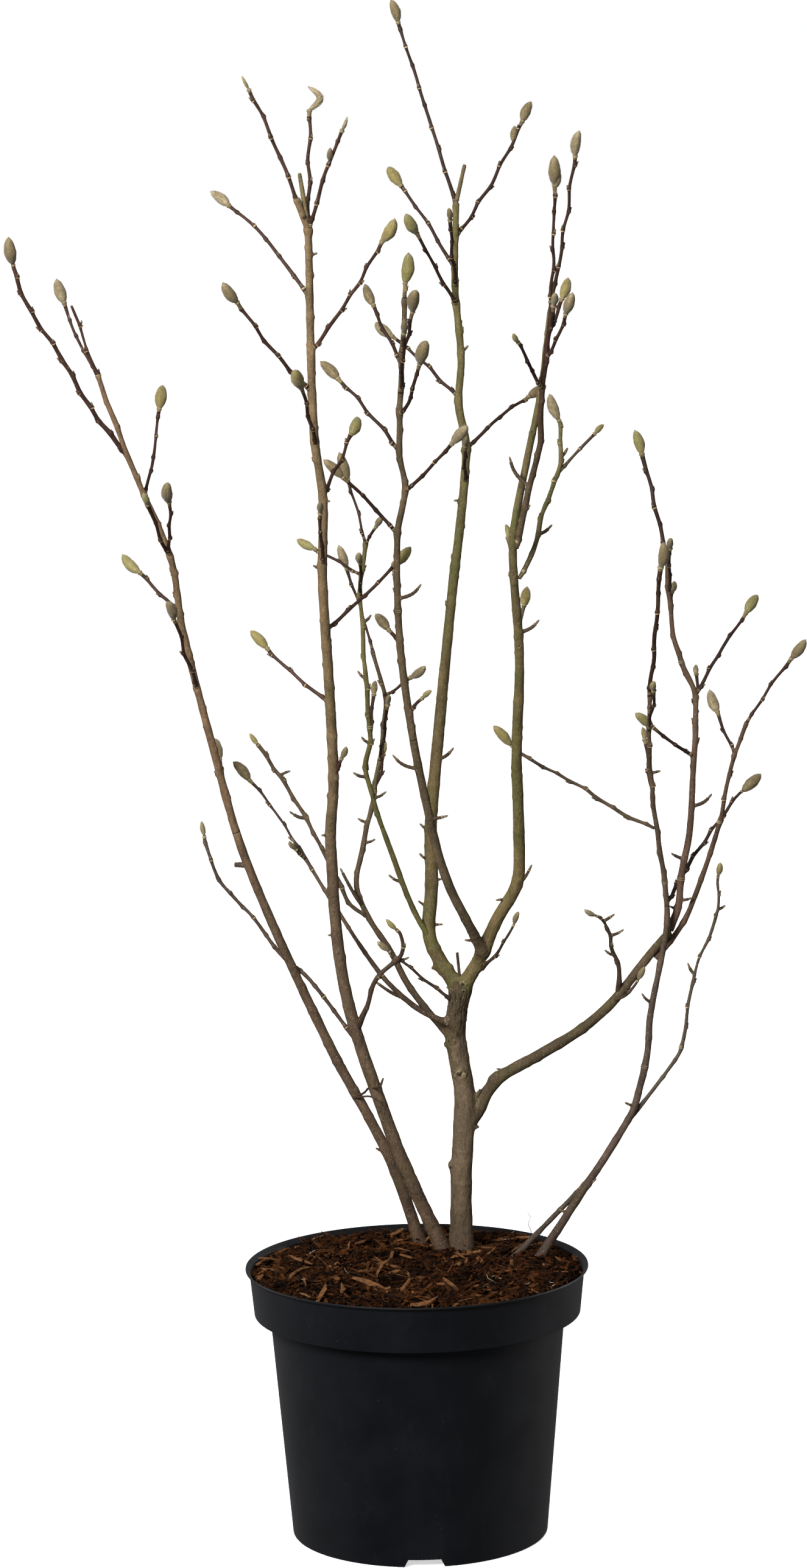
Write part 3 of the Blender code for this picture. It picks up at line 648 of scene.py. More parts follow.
def skin(batch, path, sides, relief=None, point_ends=(0.0, 0.6)):
    """A closed tube round a path, its surface raised by relief(places, runs, radii, angles)."""
    angles = np.arange(sides) * math.tau / sides
    cos, sin = np.cos(angles)[None, :, None], np.sin(angles)[None, :, None]
    out = path.side[:, None, :] * cos + path.up[:, None, :] * sin
    radii = np.repeat(path.radii[:, None], sides, axis=1)
    if relief:
        places = path.points[:, None, :] + out * radii[..., None]
        runs = np.repeat(path.run[:, None], sides, axis=1)
        radii = radii + relief(places, runs, radii, np.broadcast_to(angles, radii.shape))
    grid = path.points[:, None, :] + out * radii[..., None]
    start = path.points[0] - path.along[0] * path.radii[0] * point_ends[0]
    end = path.points[-1] + path.along[-1] * path.radii[-1] * point_ends[1]
    batch.add(np.vstack([grid.reshape(-1, 3), start, end]), *tube_faces(len(path.points), sides))
    return grid, out


def dome(batch, centre, outward, along, length, width, height, sides=10):
    """A low oval dome, for a scar or for a dark patch of painted shade in a hollow."""
    across = unit(np.cross(outward, along))
    along = np.cross(across, outward)
    angles = np.arange(sides) * math.tau / sides
    verts = [centre + outward * height]
    for share, level in ((0.6, 0.75), (1.0, -0.3)):
        for angle in angles:
            flat = along * math.cos(angle) * length + across * math.sin(angle) * width
            verts.append(centre + flat * share / 2 + outward * height * level)
    near, far = pairs_round(sides)
    fan = stacked(near + 1, far + 1, np.zeros(sides, int))
    skirt = stacked(near + 1 + sides, far + 1 + sides, far + 1, near + 1)
    batch.add(np.array(verts), fan, skirt)


# Materials


def material(name, roughness, specular=0.3, sheen=0.0):
    """A new material with its node tree and its shader."""
    made = bpy.data.materials.new(name)
    made.use_nodes = True
    shader = made.node_tree.nodes["Principled BSDF"]
    shader.inputs["Roughness"].default_value = roughness
    shader.inputs["Specular IOR Level"].default_value = specular
    shader.inputs["Sheen Weight"].default_value = sheen
    return made, made.node_tree, shader


def node(tree, kind, values=(), **fields):
    made = tree.nodes.new(kind)
    for key, value in fields.items():
        setattr(made, key, value)
    for key, value in dict(values).items():
        made.inputs[key].default_value = value
    return made


def place_in(tree, frame_name):
    """The place of a point in one of the shader's frames."""
    return node(tree, "ShaderNodeTexCoord").outputs[frame_name]


def height_in(tree, frame_name):
    split = node(tree, "ShaderNodeSeparateXYZ")
    tree.links.new(place_in(tree, frame_name), split.inputs["Vector"])
    return split.outputs["Z"]


def share_between(tree, value, low, high):
    made = node(tree, "ShaderNodeMapRange", {"From Min": low, "From Max": high})
    tree.links.new(value, made.inputs["Value"])
    return made.outputs["Result"]


def noise(tree, scale, detail=4.0, stretch=None):
    """Noise from 0 to 1 in the piece's frame, stretched where asked."""
    place = place_in(tree, "Object")
    if stretch:
        mapping = node(tree, "ShaderNodeMapping", {"Scale": stretch})
        tree.links.new(place, mapping.inputs["Vector"])
        place = mapping.outputs["Vector"]
    made = node(tree, "ShaderNodeTexNoise", {"Scale": scale, "Detail": detail, "Roughness": 0.6})
    tree.links.new(place, made.inputs["Vector"])
    return made.outputs["Fac"]


def ramp(tree, fac, *stops):
    """Colours along a value from 0 to 1, where a plain number stands for a grey."""
    made = node(tree, "ShaderNodeValToRGB")
    slots = made.color_ramp.elements
    while len(slots) < len(stops):
        slots.new(0.5)
    for slot, (place, colour) in zip(slots, stops):
        slot.position = place
        slot.color = (*(colour if isinstance(colour, tuple) else (colour,) * 3), 1.0)
    tree.links.new(fac, made.inputs["Fac"])
    return made.outputs["Color"]


def blend(tree, fac, one, two, kind="MIX"):
    """Two colours mixed by a factor, each given as a value or as another node's output."""
    made = node(tree, "ShaderNodeMix", data_type="RGBA", blend_type=kind)
    for key, value in ((0, fac), (6, one), (7, two)):
        if isinstance(value, (int, float)):
            made.inputs[key].default_value = value
        elif isinstance(value, tuple):
            made.inputs[key].default_value = (*value, 1.0)
        else:
            tree.links.new(value, made.inputs[key])
    return made.outputs[2]


def bump(tree, shader, fac, depth):
    made = node(tree, "ShaderNodeBump", {"Strength": 1.0, "Distance": depth})
    tree.links.new(fac, made.inputs["Height"])
    tree.links.new(made.outputs["Normal"], shader.inputs["Normal"])


def shade(colour, factor):
    return tuple(min(1.0, channel * factor) for channel in colour)


def warmed(colour):
    return tuple(channel * warmth for channel, warmth in zip(colour, BARK_WARMTH))


def bark(name, colour, algae=0.3, grey=0.12, roughness=0.7, cracks=0.25, upper=None):
    """Bark with soft blotches, fine cracks and grain along the limb, a green film in places and painted
    shade that darkens its foot near the soil. Where upper is given as (height, colour), the colour changes
    there."""
    made, tree, shader = material(name, roughness, 0.2)
    height = height_in(tree, "Object")
    base = warmed(colour)
    if upper:
        level = upper[0] * MM
        risen = share_between(tree, height, level - UPPER_FADE, level + UPPER_FADE)
        base = blend(tree, risen, base, warmed(upper[1]))
    patches = ramp(tree, noise(tree, 70.0, 5.0, (1.0, 1.0, 0.5)), (0.3, 0.6), (0.52, 1.0), (0.72, 1.4))
    blotches = blend(tree, 1.0, base, patches, "MULTIPLY")
    bare = 0.58 - 0.16 * algae
    film = ramp(tree, noise(tree, 16.0, 4.0), (bare, 0.0), (bare + 0.15, algae))
    bloom = ramp(tree, noise(tree, 260.0, 6.0), (0.56, 0.0), (0.7, grey))
    toned = blend(tree, bloom, blend(tree, film, blotches, FILM_COLOUR), BLOOM_COLOUR)
    # Painted shade: the bark is darkened towards its foot, just above the soil.
    foot_shade = ramp(tree, height, (0.28, (0.66, 0.62, 0.62)), (0.4, 1.0))
    grain = ramp(tree, noise(tree, 1300.0, 3.0, (1.0, 1.0, 0.3)), (0.3, 0.66), (0.7, 1.3))
    net = noise(tree, 430.0, 5.0, (1.0, 1.0, 0.34))
    creased = ramp(tree, net, (0.36, 1.0 - cracks), (0.45, 1.0), (0.62, 1.0), (0.72, (1.25, 1.22, 1.15)))
    for layer in (foot_shade, grain, creased):
        toned = blend(tree, 1.0, toned, layer, "MULTIPLY")
    tree.links.new(toned, shader.inputs["Base Color"])
    bump(tree, shader, net, 0.0005 + 0.0016 * cracks)
    return made


def mottled(name, colour, scale, spread=0.35, roughness=0.8, depth=0.0002, sheen=0.0, specular=0.3):
    """A plain colour whose tone varies by spread, with a fine bump as deep as depth in metres."""
    made, tree, shader = material(name, roughness, specular, sheen)
    tone = noise(tree, scale, 4.0)
    stops = (0.3, shade(colour, 1 - spread)), (0.55, colour), (0.75, shade(colour, 1 + spread))
    tree.links.new(ramp(tree, tone, *stops), shader.inputs["Base Color"])
    bump(tree, shader, noise(tree, scale * 6, 3.0), depth)
    return made


# Limbs with their bark

BARK_WARMTH = (1.0, 0.94, 0.83)
FILM_COLOUR = (0.098, 0.097, 0.028)
BLOOM_COLOUR = (0.3, 0.25, 0.18)

# How far the change to the upper colour runs to either side, in metres
UPPER_FADE = 0.09

# The bark's colour below the crown, and above where the crown starts
BARK_COLOURS = {
    "trunk": ((0.13, 0.099, 0.067), (0.082, 0.061, 0.036)),
    "left": ((0.122, 0.086, 0.059), (0.192, 0.138, 0.08)),
    "far_left": ((0.115, 0.078, 0.053), (0.19, 0.125, 0.078)),
    "centre": ((0.125, 0.095, 0.045), (0.15, 0.128, 0.054)),
    "right": ((0.15, 0.115, 0.055), (0.135, 0.11, 0.054)),
    "centre_left": ((0.1, 0.076, 0.048), (0.11, 0.082, 0.05)),
    "low_right": ((0.078, 0.058, 0.034), (0.078, 0.058, 0.034)),
    "outer_right": ((0.11, 0.067, 0.048), (0.105, 0.067, 0.045)),
    "far_right": ((0.11, 0.066, 0.048), (0.1, 0.063, 0.043)),
    "right_stem": ((0.088, 0.062, 0.05), (0.1, 0.07, 0.05)),
    "thin_right": ((0.092, 0.074, 0.061), (0.105, 0.083, 0.065)),
    "left_low": ((0.08, 0.054, 0.038), (0.088, 0.06, 0.042)),
    "left_back": ((0.082, 0.057, 0.036), (0.09, 0.064, 0.04)),
    "inner_left": ((0.115, 0.1, 0.04), (0.12, 0.104, 0.038)),
}
TWIG_COLOUR = (0.037, 0.0195, 0.0145)
LONE_TWIG_COLOUR = (0.062, 0.041, 0.03)
TIP_COLOUR = (0.2, 0.155, 0.085)

# How finely limbs and twigs are drawn: the step along them and the corners round them
BOUGH_STEP = 2.0
BOUGH_SIDES = 24
LEADER_STEP = 1.6
LEADER_SIDES = 16
TWIG_STEP = 1.5
TWIG_SIDES = 10
STRAY_STEP = 1.2

# Short spurs and dead stubs that the photograph shows: (height, to the right, up), by limb
SPURS = {
    "centre": (
        (1015, -8, 0), (760, 17, 13), (692, -10, 6), (663, -11, 8), (641, 10, 2), (617, -11, 6),
        (599, 13, 0), (1311, 9, 38), (1163, 7, 6), (497, -14, 4),
    ),
    "right": ((809, 3, 6), (629, -12, 1), (645, 16, 24), (905, 19, 13)),
    "right_dark": ((1038, 2, 12), (1051, -18, 29)),
    "right_side": ((999, 13, 10), (1072, 6, 9)),
    "centre_left": ((941, 22, 15), (772, -25, 15), (720, 16, 4), (590, -11, 0)),
    "left": (
        (978, -8, 3), (1274, 7, 2), (709, -8, 0), (604, -8, 0), (1044, 6, 0), (1313, -7, 49), (441, 7, 11),
    ),
    "far_left": ((666, -13, 0), (368, -10, 3), (901, -7, 18)),
    "right_stem": ((312, -8, 4), (342, 9, 6), (417, -9, 5), (755, 9, 2), (518, -10, 11)),
    "outer_right": ((711, 20, 12), (659, -12, 6), (618, 11, 3), (609, -7, 3)),
    "thin_right": ((556, -6, 12), (625, 7, 4), (330, 7, 10)),
    "low_right": ((449, -9, 4), (465, 13, 3)),
    "low_right_twig": ((603, 10, 7), (587, 12, 7), (567, -10, 7)),
    "left_low": ((675, -11, 16), (635, -2, 6), (531, -32, 21)),
    "left_back": ((611, -23, 42), (692, -9, 4), (673, 11, 4), (717, 12, 8)),
    "left_back_side": ((740, 10, 4), (699, -17, 8)),
    "inner_left": ((850, -8, 8), (785, -8, 7), (751, -13, 6), (906, 8, 8), (644, -13, 8)),
    "left_front_twig": ((576, 15, 5),),
}

# Those that are dead, and those that are pale, bare wood
DEAD_SPURS = {("centre", 1311), ("left", 1313), ("far_left", 666)}
PALE_STUBS = {("centre", 1311), ("left", 1313)}

# Shoots that end in a curled bud or a slim pointed one, and by limb those whose bud is drawn small
BUD_KINDS = {("left", 1): "curled", ("left", 0): "slim", ("left", 2): "slim"}
SMALL_BUDS = {
    "left": (11, 12, 13), "far_left": (6, 7), "centre": (6, 7, 8, 9), "right": (3, 4), "centre_left": (9, 10),
    "outer_right": (4, 5), "right_stem": (1, 2), "inner_left": (3, 4), "left_back": (2, 3),
}

# Second buds beside the one at a shoot's end: side, how far back, and length
SECOND_BUDS = {
    ("centre", 1): (-1, 24.0, 17.0), ("right_dark", 0): (1, 3.0, 14.0), ("left", 2): (-1, 34.0, 13.0),
}

# How far the leader's older wood runs up into a shoot
OLD_WOOD = {("left", 0): 30.0}

# The height from which a leader is thin, dark wood, and how much of its width it keeps
DARK_ENDS = {"far_left": (1158.0, 0.62)}

# Shoots that are stouter than the rule makes them
STOUT_SHOOTS = {("right_stem", 0): 1.45, ("outer_right", 0): 1.4, ("far_left", 0): 1.12}

# How pale the young twigs of a crown are, set against their usual colour
TWIG_TONES = {"left": 1.7, "far_left": 1.55}
PLAIN_TWIG_TONE = 1.2

# The height below which the twigs of a crown are older and paler, and their colour there
OLDER_TWIGS = {"right": (1080.0, (0.12, 0.09, 0.06))}

# Stray twigs: their radius and the places they pass
STRAYS = (
    (1.3, (-61.4, 80, 423.4), (-51.1, 70, 429.9), (-45.1, 40, 441.4), (-33.7, 12, 449.2), (-30.5, 8, 458.2)),
    (1.2, (-61, 80, 423), (-47.9, 60, 428.9), (-41.5, 40, 432.1), (-35.2, 20, 432.2), (-32.8, 14, 429.7)),
    (2.0, (47.5, 58, 538), (46, 58, 556), (44.5, 58, 574)),
    (2.2, (-26.3, 82, 367.7), (-31, 82, 368.6), (-36.4, 82, 368.7)),
    (0.45, (115.7, 126.2, 262), (117, 126.5, 272), (114, 127.2, 279), (116.5, 127.8, 286), (113.5, 128, 291)),
)

# How much stouter a limb is drawn than in the solid part, at its foot and at its end
STOUTER = {
    "trunk": (1.03, 1.04), "left": (1.0, 1.18), "far_left": (1.0, 1.5), "far_left_side": (1.1, 1.25),
    "right_dark": (1.12, 1.1), "right_side": (1.08, 1.25), "centre_left": (0.98, 1.12),
    "outer_right": (1.0, 1.2), "far_right": (1.02, 1.1), "right_stem": (1.0, 1.1),
    "thin_right": (1.02, 1.05), "left_back": (1.22, 1.15), "left_back_side": (1.15, 1.6),
    "inner_left": (1.03, 1.18), "left_front_twig": (1.2, 1.3), "left_back_twig": (1.05, 1.4),
    "low_right_twig": (1.3, 1.0),
}

# Side limbs with the bark of their leader; the others are dark like the shoots
PALE_SIDE_LIMBS = ("right_side", "left_back_side", "long_left")

# The height at which the trunk's bark changes to its upper colour, and the same for its old bark
TRUNK_CHANGE = 510.0
OLD_BARK_CHANGE = 520.0

# How much green film grows on a limb, and on those that aren't named
ALGAE = {
    "centre": 0.65, "right": 0.7, "inner_left": 0.75, "trunk": 0.22, "centre_left": 0.1, "low_right": 0.4,
}
PLAIN_ALGAE = 0.25

# Wood thinner than this is young and shows its leaf scars and side buds, and it bends this far at a node
YOUNG_RADIUS = 2.45
KINK = 0.9

# How many nodes of young wood show a leaf scar, and of older wood still a side bud
SCAR_SHARE = 0.72
OLD_BUD_SHARE = 0.12

# How far apart the nodes of a shoot and of a lone twig are, as shares of the spacing in the source,
# and how far up a leader or a lone twig the first one is
SHOOT_SPACING = 0.82
LONE_SPACING = 0.75
FIRST_NODE = 14.0
FIRST_LONE_NODE = 9.0

# A path that ends in a bud has this many points for it
BUD_END = len(BUD_RINGS) - 1

# Pores on a square millimetre of bark, how often two stand together, and how many times more of them
# the limbs have
PORES_PER_AREA = 0.01
PAIRED_PORES = 0.3
MORE_PORES = {
    "left": 3.4, "far_left": 3.4, "right_stem": 2.4, "centre_left": 2.4, "outer_right": 2.2, "low_right": 1.8,
}
PLAIN_PORES = 1.5

# Rings where one year's growth ends, by limb and height, pale only on young wood
RINGED_RADIUS = 4.0
GROWTH_RINGS = {
    "centre": (575, 735, 950, 1210), "right": (760, 900, 1180), "centre_left": (930, 1120),
    "left": (508, 900, 1100), "far_left": (460, 880, 1040), "right_stem": (455, 640),
    "outer_right": (640, 850), "far_right": (700,), "inner_left": (800,), "left_back": (723,),
    "thin_right": (478,), "low_right": (492,),
}

# Knots and healed cuts that the photograph shows, all on the front: (height, to the right, width)
KNOTS = {
    "low_right": ((470, 0, 5), (491, 1, 5)),
    "left": ((587, 0, 5.5), (478, 2, 5), (427, 2, 6), (330, 1, 6.5)),
    "far_left": ((460, 1, 5),),
    "right": ((893, 0, 5.5),),
}

# Stretches of furrowed bark, by limb: height, how far it fades, and depth
FURROWS = {
    "trunk": ((524, 32, 1.4), (470, 28, 0.5)), "right": ((566, 30, 1.2),), "left": ((345, 60, 0.7),),
    "centre": ((556, 16, 0.6),),
}

# Filled as the plant grows: the bark of each limb, and the limbs that share the trunk's skin
looks = {}
melted = []

# Small things gathered over the whole plant, by colour
# hollows gathers dark domes of painted shade set in the hollows of knots and wounds.
growth_rings, collars, leaf_scars, pores, hollow_shading = (Batch() for _ in range(5))
calluses, side_buds, spur_wood, stub_wood, young_tips = (Batch() for _ in range(5))


def bark_relief(seed, depth, lumps, bumps, furrows=()):
    """Ridges along the limb, soft lumps, single bumps (run, angle, height, length, width) and
    stretches of furrowed bark (run, length, height)."""

    def relief(places, runs, radii, angles):
        ridged = stacked(np.cos(angles) * radii, np.sin(angles) * radii, runs * 0.22)
        total = depth * (rough(ridged, 2.2, seed) + 0.6 * rough(ridged, 1.1, seed + 1))
        total = total + lumps * (rough(places, 14.0, seed + 2) + 0.5 * rough(places, 5.0, seed + 3))
        for run, length, height in furrows:
            warped = ridged + 0.9 * rough(places, 6.0, seed + 4)[..., None]
            wide, fine = np.abs(rough(warped, 1.7, seed + 5)), np.abs(rough(warped, 0.9, seed + 6))
            total = total + height * (0.35 - 1.15 * wide - 0.5 * fine) * bell(runs, run, length)
        for run, angle, height, length, width in bumps:
            fall = bell(runs, run, length)
            if angle is not None:
                fall = fall * bell(turn_from(angles, angle) * radii, 0, width)
            total = total + height * fall
        return total

    return relief


def cuff(batch, path, run, length, swell=0.35, sides=14, waves=2):
    """A wrinkled collar round a path, as where a shoot or a year's growth starts."""
    count = max(6, round(length / 0.4))
    shares = np.arange(count + 1) / count
    runs = run + (shares - 0.5) * length
    if runs[0] < path.run[0] or runs[-1] > path.run[-1]:
        return
    spots = [path.at(value) for value in runs]
    wave = 0.5 - 0.5 * np.cos(shares * math.tau * waves)
    radii = [spot[1] - 0.15 + (0.15 + swell) * w for spot, w in zip(spots, wave)]
    skin(batch, Path([spot[0] for spot in spots], radii), sides)


def side_bud(base, heading, length, width):
    """A small silky side bud, plump below its tip."""
    heading = unit(heading)
    shares = np.array([0.0, 0.15, 0.45, 0.75, 0.94])
    widths = np.array([0.6, 0.88, 1.0, 0.8, 0.42]) * width / 2
    skin(side_buds, Path([base + heading * length * share for share in shares], widths), 8)


# How far a leaf scar wraps round its twig to either side, as an angle
SCAR_REACH = 2.1
SCAR_STEPS = 8


def leaf_scar(path, run, angle, height, lift=0.0):
    """The cream crescent that a fallen leaf left, wrapped part of the way round its twig."""
    turns = angle + np.linspace(-SCAR_REACH, SCAR_REACH, SCAR_STEPS + 1)
    verts = []
    for turn in turns:
        fade = math.cos((turn - angle) / SCAR_REACH * math.pi / 2)
        for offset, rise in ((-0.5, 0.0), (0.0, 0.25), (0.5, 0.0)):
            place, radius, _ = path.at(run + 0.5 * height * (1 - fade) + offset * height * max(fade, 0.25))
            verts.append(place + path.outward(run, turn) * (radius + 0.2 + lift * fade**2 + rise))
    near = np.arange(SCAR_STEPS) * 3
    quads = [stacked(near + k, near + k + 3, near + k + 4, near + k + 1) for k in (0, 1)]
    leaf_scars.add(np.array(verts), *quads)


def pale_pore(place, out, along, size):
    """A pale pore of the bark, a little raised."""
    across = np.cross(out, along)
    turns = np.arange(5) * math.tau / 5
    high, wide = size * 0.55, size * 0.45
    rim = [out * -0.15 + along * math.cos(t) * high + across * math.sin(t) * wide for t in turns]
    pores.add(place + np.array([*rim, out * 0.24]), stacked(*pairs_round(5), np.full(5, 5)))


def strew_pores(path, surface, low, high, share, rng):
    """Pores by ones and twos over a stretch of limb, in proportion to its girth."""
    grid, outs = surface
    rows = np.nonzero((path.run >= low) & (path.run <= high))[0]
    sides = grid.shape[1]
    if len(rows) < 3:
        return
    step = path.run[1] - path.run[0]
    for row in rows:
        for _ in range(int(rng.random() + share * PORES_PER_AREA * math.tau * path.radii[row] * step)):
            turn = rng.randrange(sides)
            size = rng.uniform(0.55, 1.15)
            pale_pore(grid[row, turn], outs[row, turn], path.along[row], size)
            if rng.random() < PAIRED_PORES:
                turn = (turn + rng.choice((-2, -1, 1, 2))) % sides
                pale_pore(grid[row, turn], outs[row, turn], path.along[row], size * 0.8)


def nodes_of(path, first, spacing, rng):
    """Where the nodes of a young shoot lie, as (run, angle), by turns on either side."""
    nodes, run, angle = [], first, rng.uniform(0, math.tau)
    while run < path.run[-1] - 6:
        nodes.append((run, angle))
        run += spacing * rng.uniform(0.75, 1.2)
        angle += math.pi + rng.uniform(-0.5, 0.5)
    return nodes


def kinked(path, nodes):
    """The same shoot, bent a little towards the bud at each node."""
    if not nodes:
        return path
    runs = [0.0] + [run for run, _ in nodes] + [path.run[-1]]
    sway = [np.zeros(3)] + [path.outward(run, angle) * KINK for run, angle in nodes] + [np.zeros(3)]
    slim = np.clip((YOUNG_RADIUS + 0.8 - path.radii) / 0.8, 0, 1)
    shift = stacked(*(np.interp(path.run, runs, [step[axis] for step in sway]) * slim for axis in range(3)))
    return Path(path.points + shift, path.radii)


def dress_nodes(path, nodes, spacing, rng):
    """Leaf scars and side buds at the nodes; returns the bumps of the wood there."""
    bumps = []
    for run, angle in nodes:
        place, radius, along = path.at(run)
        out = path.outward(run, angle)
        young = radius < YOUNG_RADIUS or rng.random() < OLD_BUD_SHARE
        bumps.append((run, angle, (0.75 if young else 0.25) + 0.12 * radius, 1.9, 2.6))
        bumps.append((run + 0.4, None, 0.25 if young else 0.14, 1.6, 1.0))
        bumps.append((run - spacing * 0.5, None, -0.1, spacing * 0.25, 1.0))
        if radius < YOUNG_RADIUS and rng.random() < SCAR_SHARE:
            leaf_scar(path, run - 1.0, angle, rng.uniform(0.8, 1.7), 0.5 + 0.12 * radius)
        if young:
            length = rng.uniform(2.2, 4.8)
            side_bud(place + out * (radius - 0.1) + along * 0.6, out * 0.35 + along, length, length * 0.5)
    return bumps


def spur(path, run, reach, rng, dead, batch):
    """A short knobbly spur that hooks upwards, with a small bud, or a broken end where it is dead."""
    place, radius, along = path.at(run)
    reach = np.array(reach, float)
    lengthwise = along * (reach @ along)
    sideways = reach - lengthwise
    length = float(np.linalg.norm(reach))
    free = max(length - radius, 3.0)
    bud_length = 0.0 if dead else min(6.0, max(3.0, free * 0.4))
    wood = 1 - bud_length / length
    shares = np.linspace(0, wood, max(6, round(length * wood / 1.1)))
    hook = 0.0 if dead else 0.6
    bends = [hook * t * (1 - t) for t in shares]
    points = [place + sideways * (t + bend) + lengthwise * (t - bend) for t, bend in zip(shares, bends)]
    thick = max(1.5, 0.68 * radius) if dead else 1.25 + min(0.5, free * 0.025)
    own = Path(points, thick * (1.1 - 0.3 * shares))
    knob_runs = np.arange(radius + 1.6, own.run[-1], rng.uniform(2.6, 4.2))
    knobs = [(value, None, 0.32, 0.8, 1.0) for value in knob_runs]
    skin(batch, own, 10, bark_relief(7, 0.12, 0.2, knobs), (0, 0.35))
    cuff(collars, own, min(radius + 0.8, own.run[-1] * 0.7), 2.2, 0.4, 10, 1)
    if not dead:
        side_bud(own.points[-1] - own.along[-1] * 0.8, own.along[-1], bud_length + 0.8, 2.6)
        if own.run[-1] > radius + 3:
            leaf_scar(own, own.run[-1] - 1.0, rng.uniform(0, math.tau), 0.8)


def limb_path(name, limb, step):
    """The limb's smooth line at a fine step, carried below the soil or to the base of its bud."""
    points = smooth_path(limb.knots, step)
    radii = limb_radii(limb, points)
    if "soil" in limb.seats:
        along = (points[1] - points[0]).normalized()
        below = [points[0] - along * step * i for i in range(round(BELOW_SOIL / step), 0, -1)]
        points, radii = below + points, [radii[0]] * len(below) + radii
    bud_at = None
    if limb.bud:
        points, radii = budded(limb, points, radii)
        bud_at = (points[-BUD_END - 1], points[-1])
        points, radii = points[:-BUD_END], radii[:-BUD_END]
    path = Path(points, radii)
    foot, end = STOUTER.get(name, (1.0, 1.0))
    path.radii = path.radii * (foot + (end - foot) * (path.run / path.run[-1]) ** 1.6)
    if limb.joins:
        path.radii = path.radii * np.clip(0.5 + path.run / 36, 0, 1)
    return path, bud_at


def grow_limbs(twigs):
    """Dresses every limb. A bough is a piece; a crown is one for its leaders and one for its twigs."""
    buds = []
    lone = Batch()
    for name, (low, high) in BARK_COLOURS.items():
        top = TRUNK_CHANGE if name == "trunk" else LIMBS[name].crown_from
        upper = (top, high) if top < math.inf else None
        looks[name] = bark(f"{name}_bark", low, ALGAE.get(name, PLAIN_ALGAE), upper=upper)
    upper = (OLD_BARK_CHANGE, (0.068, 0.05, 0.029))
    looks["trunk_top"] = bark("old_bark", (0.096, 0.071, 0.043), 0.35, 0.2, 0.75, cracks=0.8, upper=upper)
    for name, limb in LIMBS.items():
        if limb.joins:
            continue
        if limb.crown_from == 0:
            buds += grow_limb(name, limb, twigs[name], lone, lone)
            continue
        leaders, shoots = Batch(), Batch()
        for member in [name] + [other for other, joined in LIMBS.items() if joined.joins == name]:
            own = shoots if LIMBS[member].joins and member not in PALE_SIDE_LIMBS else leaders
            buds += grow_limb(member, LIMBS[member], twigs[member], own, shoots)
        if limb.crown_from < math.inf:
            leaders.piece(f"{name}_leaders", looks[name], "twigs_and_buds", f"{name}_crown")
            if shoots.count:
                hue = shade(TWIG_COLOUR, TWIG_TONES.get(name, PLAIN_TWIG_TONE))
                height, foot = OLDER_TWIGS.get(name, (0.0, hue))
                look = bark(f"{name}_twig_bark", foot, 0.0, 0.04, roughness=0.5, upper=(height, hue))
                shoots.piece(f"{name}_twigs", look, "twigs_and_buds")
    for radius, *places in STRAYS:
        own = smooth_path(places, STRAY_STEP)
        radii = radius * (1.1 - 0.4 * np.linspace(0, 1, len(own)))
        skin(lone, Path(own, radii), 8, bark_relief(3, 0.1 * radius, 0.15 * radius, ()), (0.3, 0.3))
    lone_names = [name for name, limb in LIMBS.items() if limb.crown_from == 0 and not limb.joins]
    look = bark("low_twig_bark", LONE_TWIG_COLOUR, algae=0.1, grey=0.06, roughness=0.55)
    lone.piece("low_twigs", look, "twigs_and_buds", *lone_names)
    return buds


def crown_run(path, limb):
    """How far along a limb its crown begins, or a place past its end where it has none."""
    if limb.crown_from == 0:
        return -1.0
    return path.run_at_height(limb.crown_from) if limb.crown_from < math.inf else path.run[-1] + 1


def ring_bumps(name, limb, path):
    """Growth rings, knots and the swelling of the foot."""
    bumps = []
    for height in GROWTH_RINGS.get(name, ()):
        run = path.run_at_height(height)
        bumps.append((run, None, 0.55, 3.2, 1.0))
        if path.at(run)[1] < RINGED_RADIUS:
            cuff(growth_rings, path, run, 3.6, 0.75, 20)
    for height, right, width in KNOTS.get(name, ()):
        bumps += knot(path, path.run_at_height(height), right, width)
    if limb.seats and limb.seats[0] != "soil":
        bumps.append((0.0, None, 0.2 * path.radii[0], 14.0, 1.0))
    elif limb.joins:
        bumps.append((0.0, None, 0.8, 9.0, 1.0))
        cuff(growth_rings, path, LIMBS[limb.joins].radii[1] + 5.0, 3.2, 0.5, 14)
    return bumps


def knot(path, run, right, width):
    """A healed knot on the front: a raised lip round a hollow, darkened by a patch of painted shade."""
    place, radius, along = path.at(run)
    angle = path.angle_of(run, np.array([right / max(radius, 1.0), -1.0, 0.0]))
    out = path.outward(run, angle)
    # A dark dome of painted shade sits in the knot's hollow.
    dome(hollow_shading, place + out * (radius - 0.25), out, along, width * 0.5, width * 0.42, 0.3, 12)
    lip = (run, angle, width * 0.2, width * 0.7, width * 0.7)
    return [lip, (run, angle, -width * 0.24, width * 0.28, width * 0.28)]


def chance_bumps(path, run, end, rng):
    """Low bumps and rings here and there on the older wood."""
    bumps = []
    while run < end:
        height = rng.uniform(0.03, 0.14) * min(path.at(run)[1], 7.5)
        bumps.append((run, rng.uniform(0, math.tau), height, rng.uniform(2.5, 5), rng.uniform(2.5, 4)))
        if rng.random() < 0.5:
            bumps.append((run + rng.uniform(-2, 2), None, 0.3, 1.8, 1.0))
        run += rng.uniform(16, 40)
    return bumps


def grow_spurs(name, path, rng):
    """The limb's spurs and stubs; returns the bumps of the wood under them."""
    bumps = []
    for height, right, rise in SPURS.get(name, ()):
        reach = (right, rng.uniform(-0.7, 0.4) * abs(right), rise)
        run = path.run_at_height(height)
        batch = stub_wood if (name, height) in PALE_STUBS else spur_wood
        spur(path, run, reach, rng, (name, height) in DEAD_SPURS, batch)
        bumps.append((run, path.angle_of(run, np.array(reach)), 0.7, 2.6, 2.6))
    return bumps


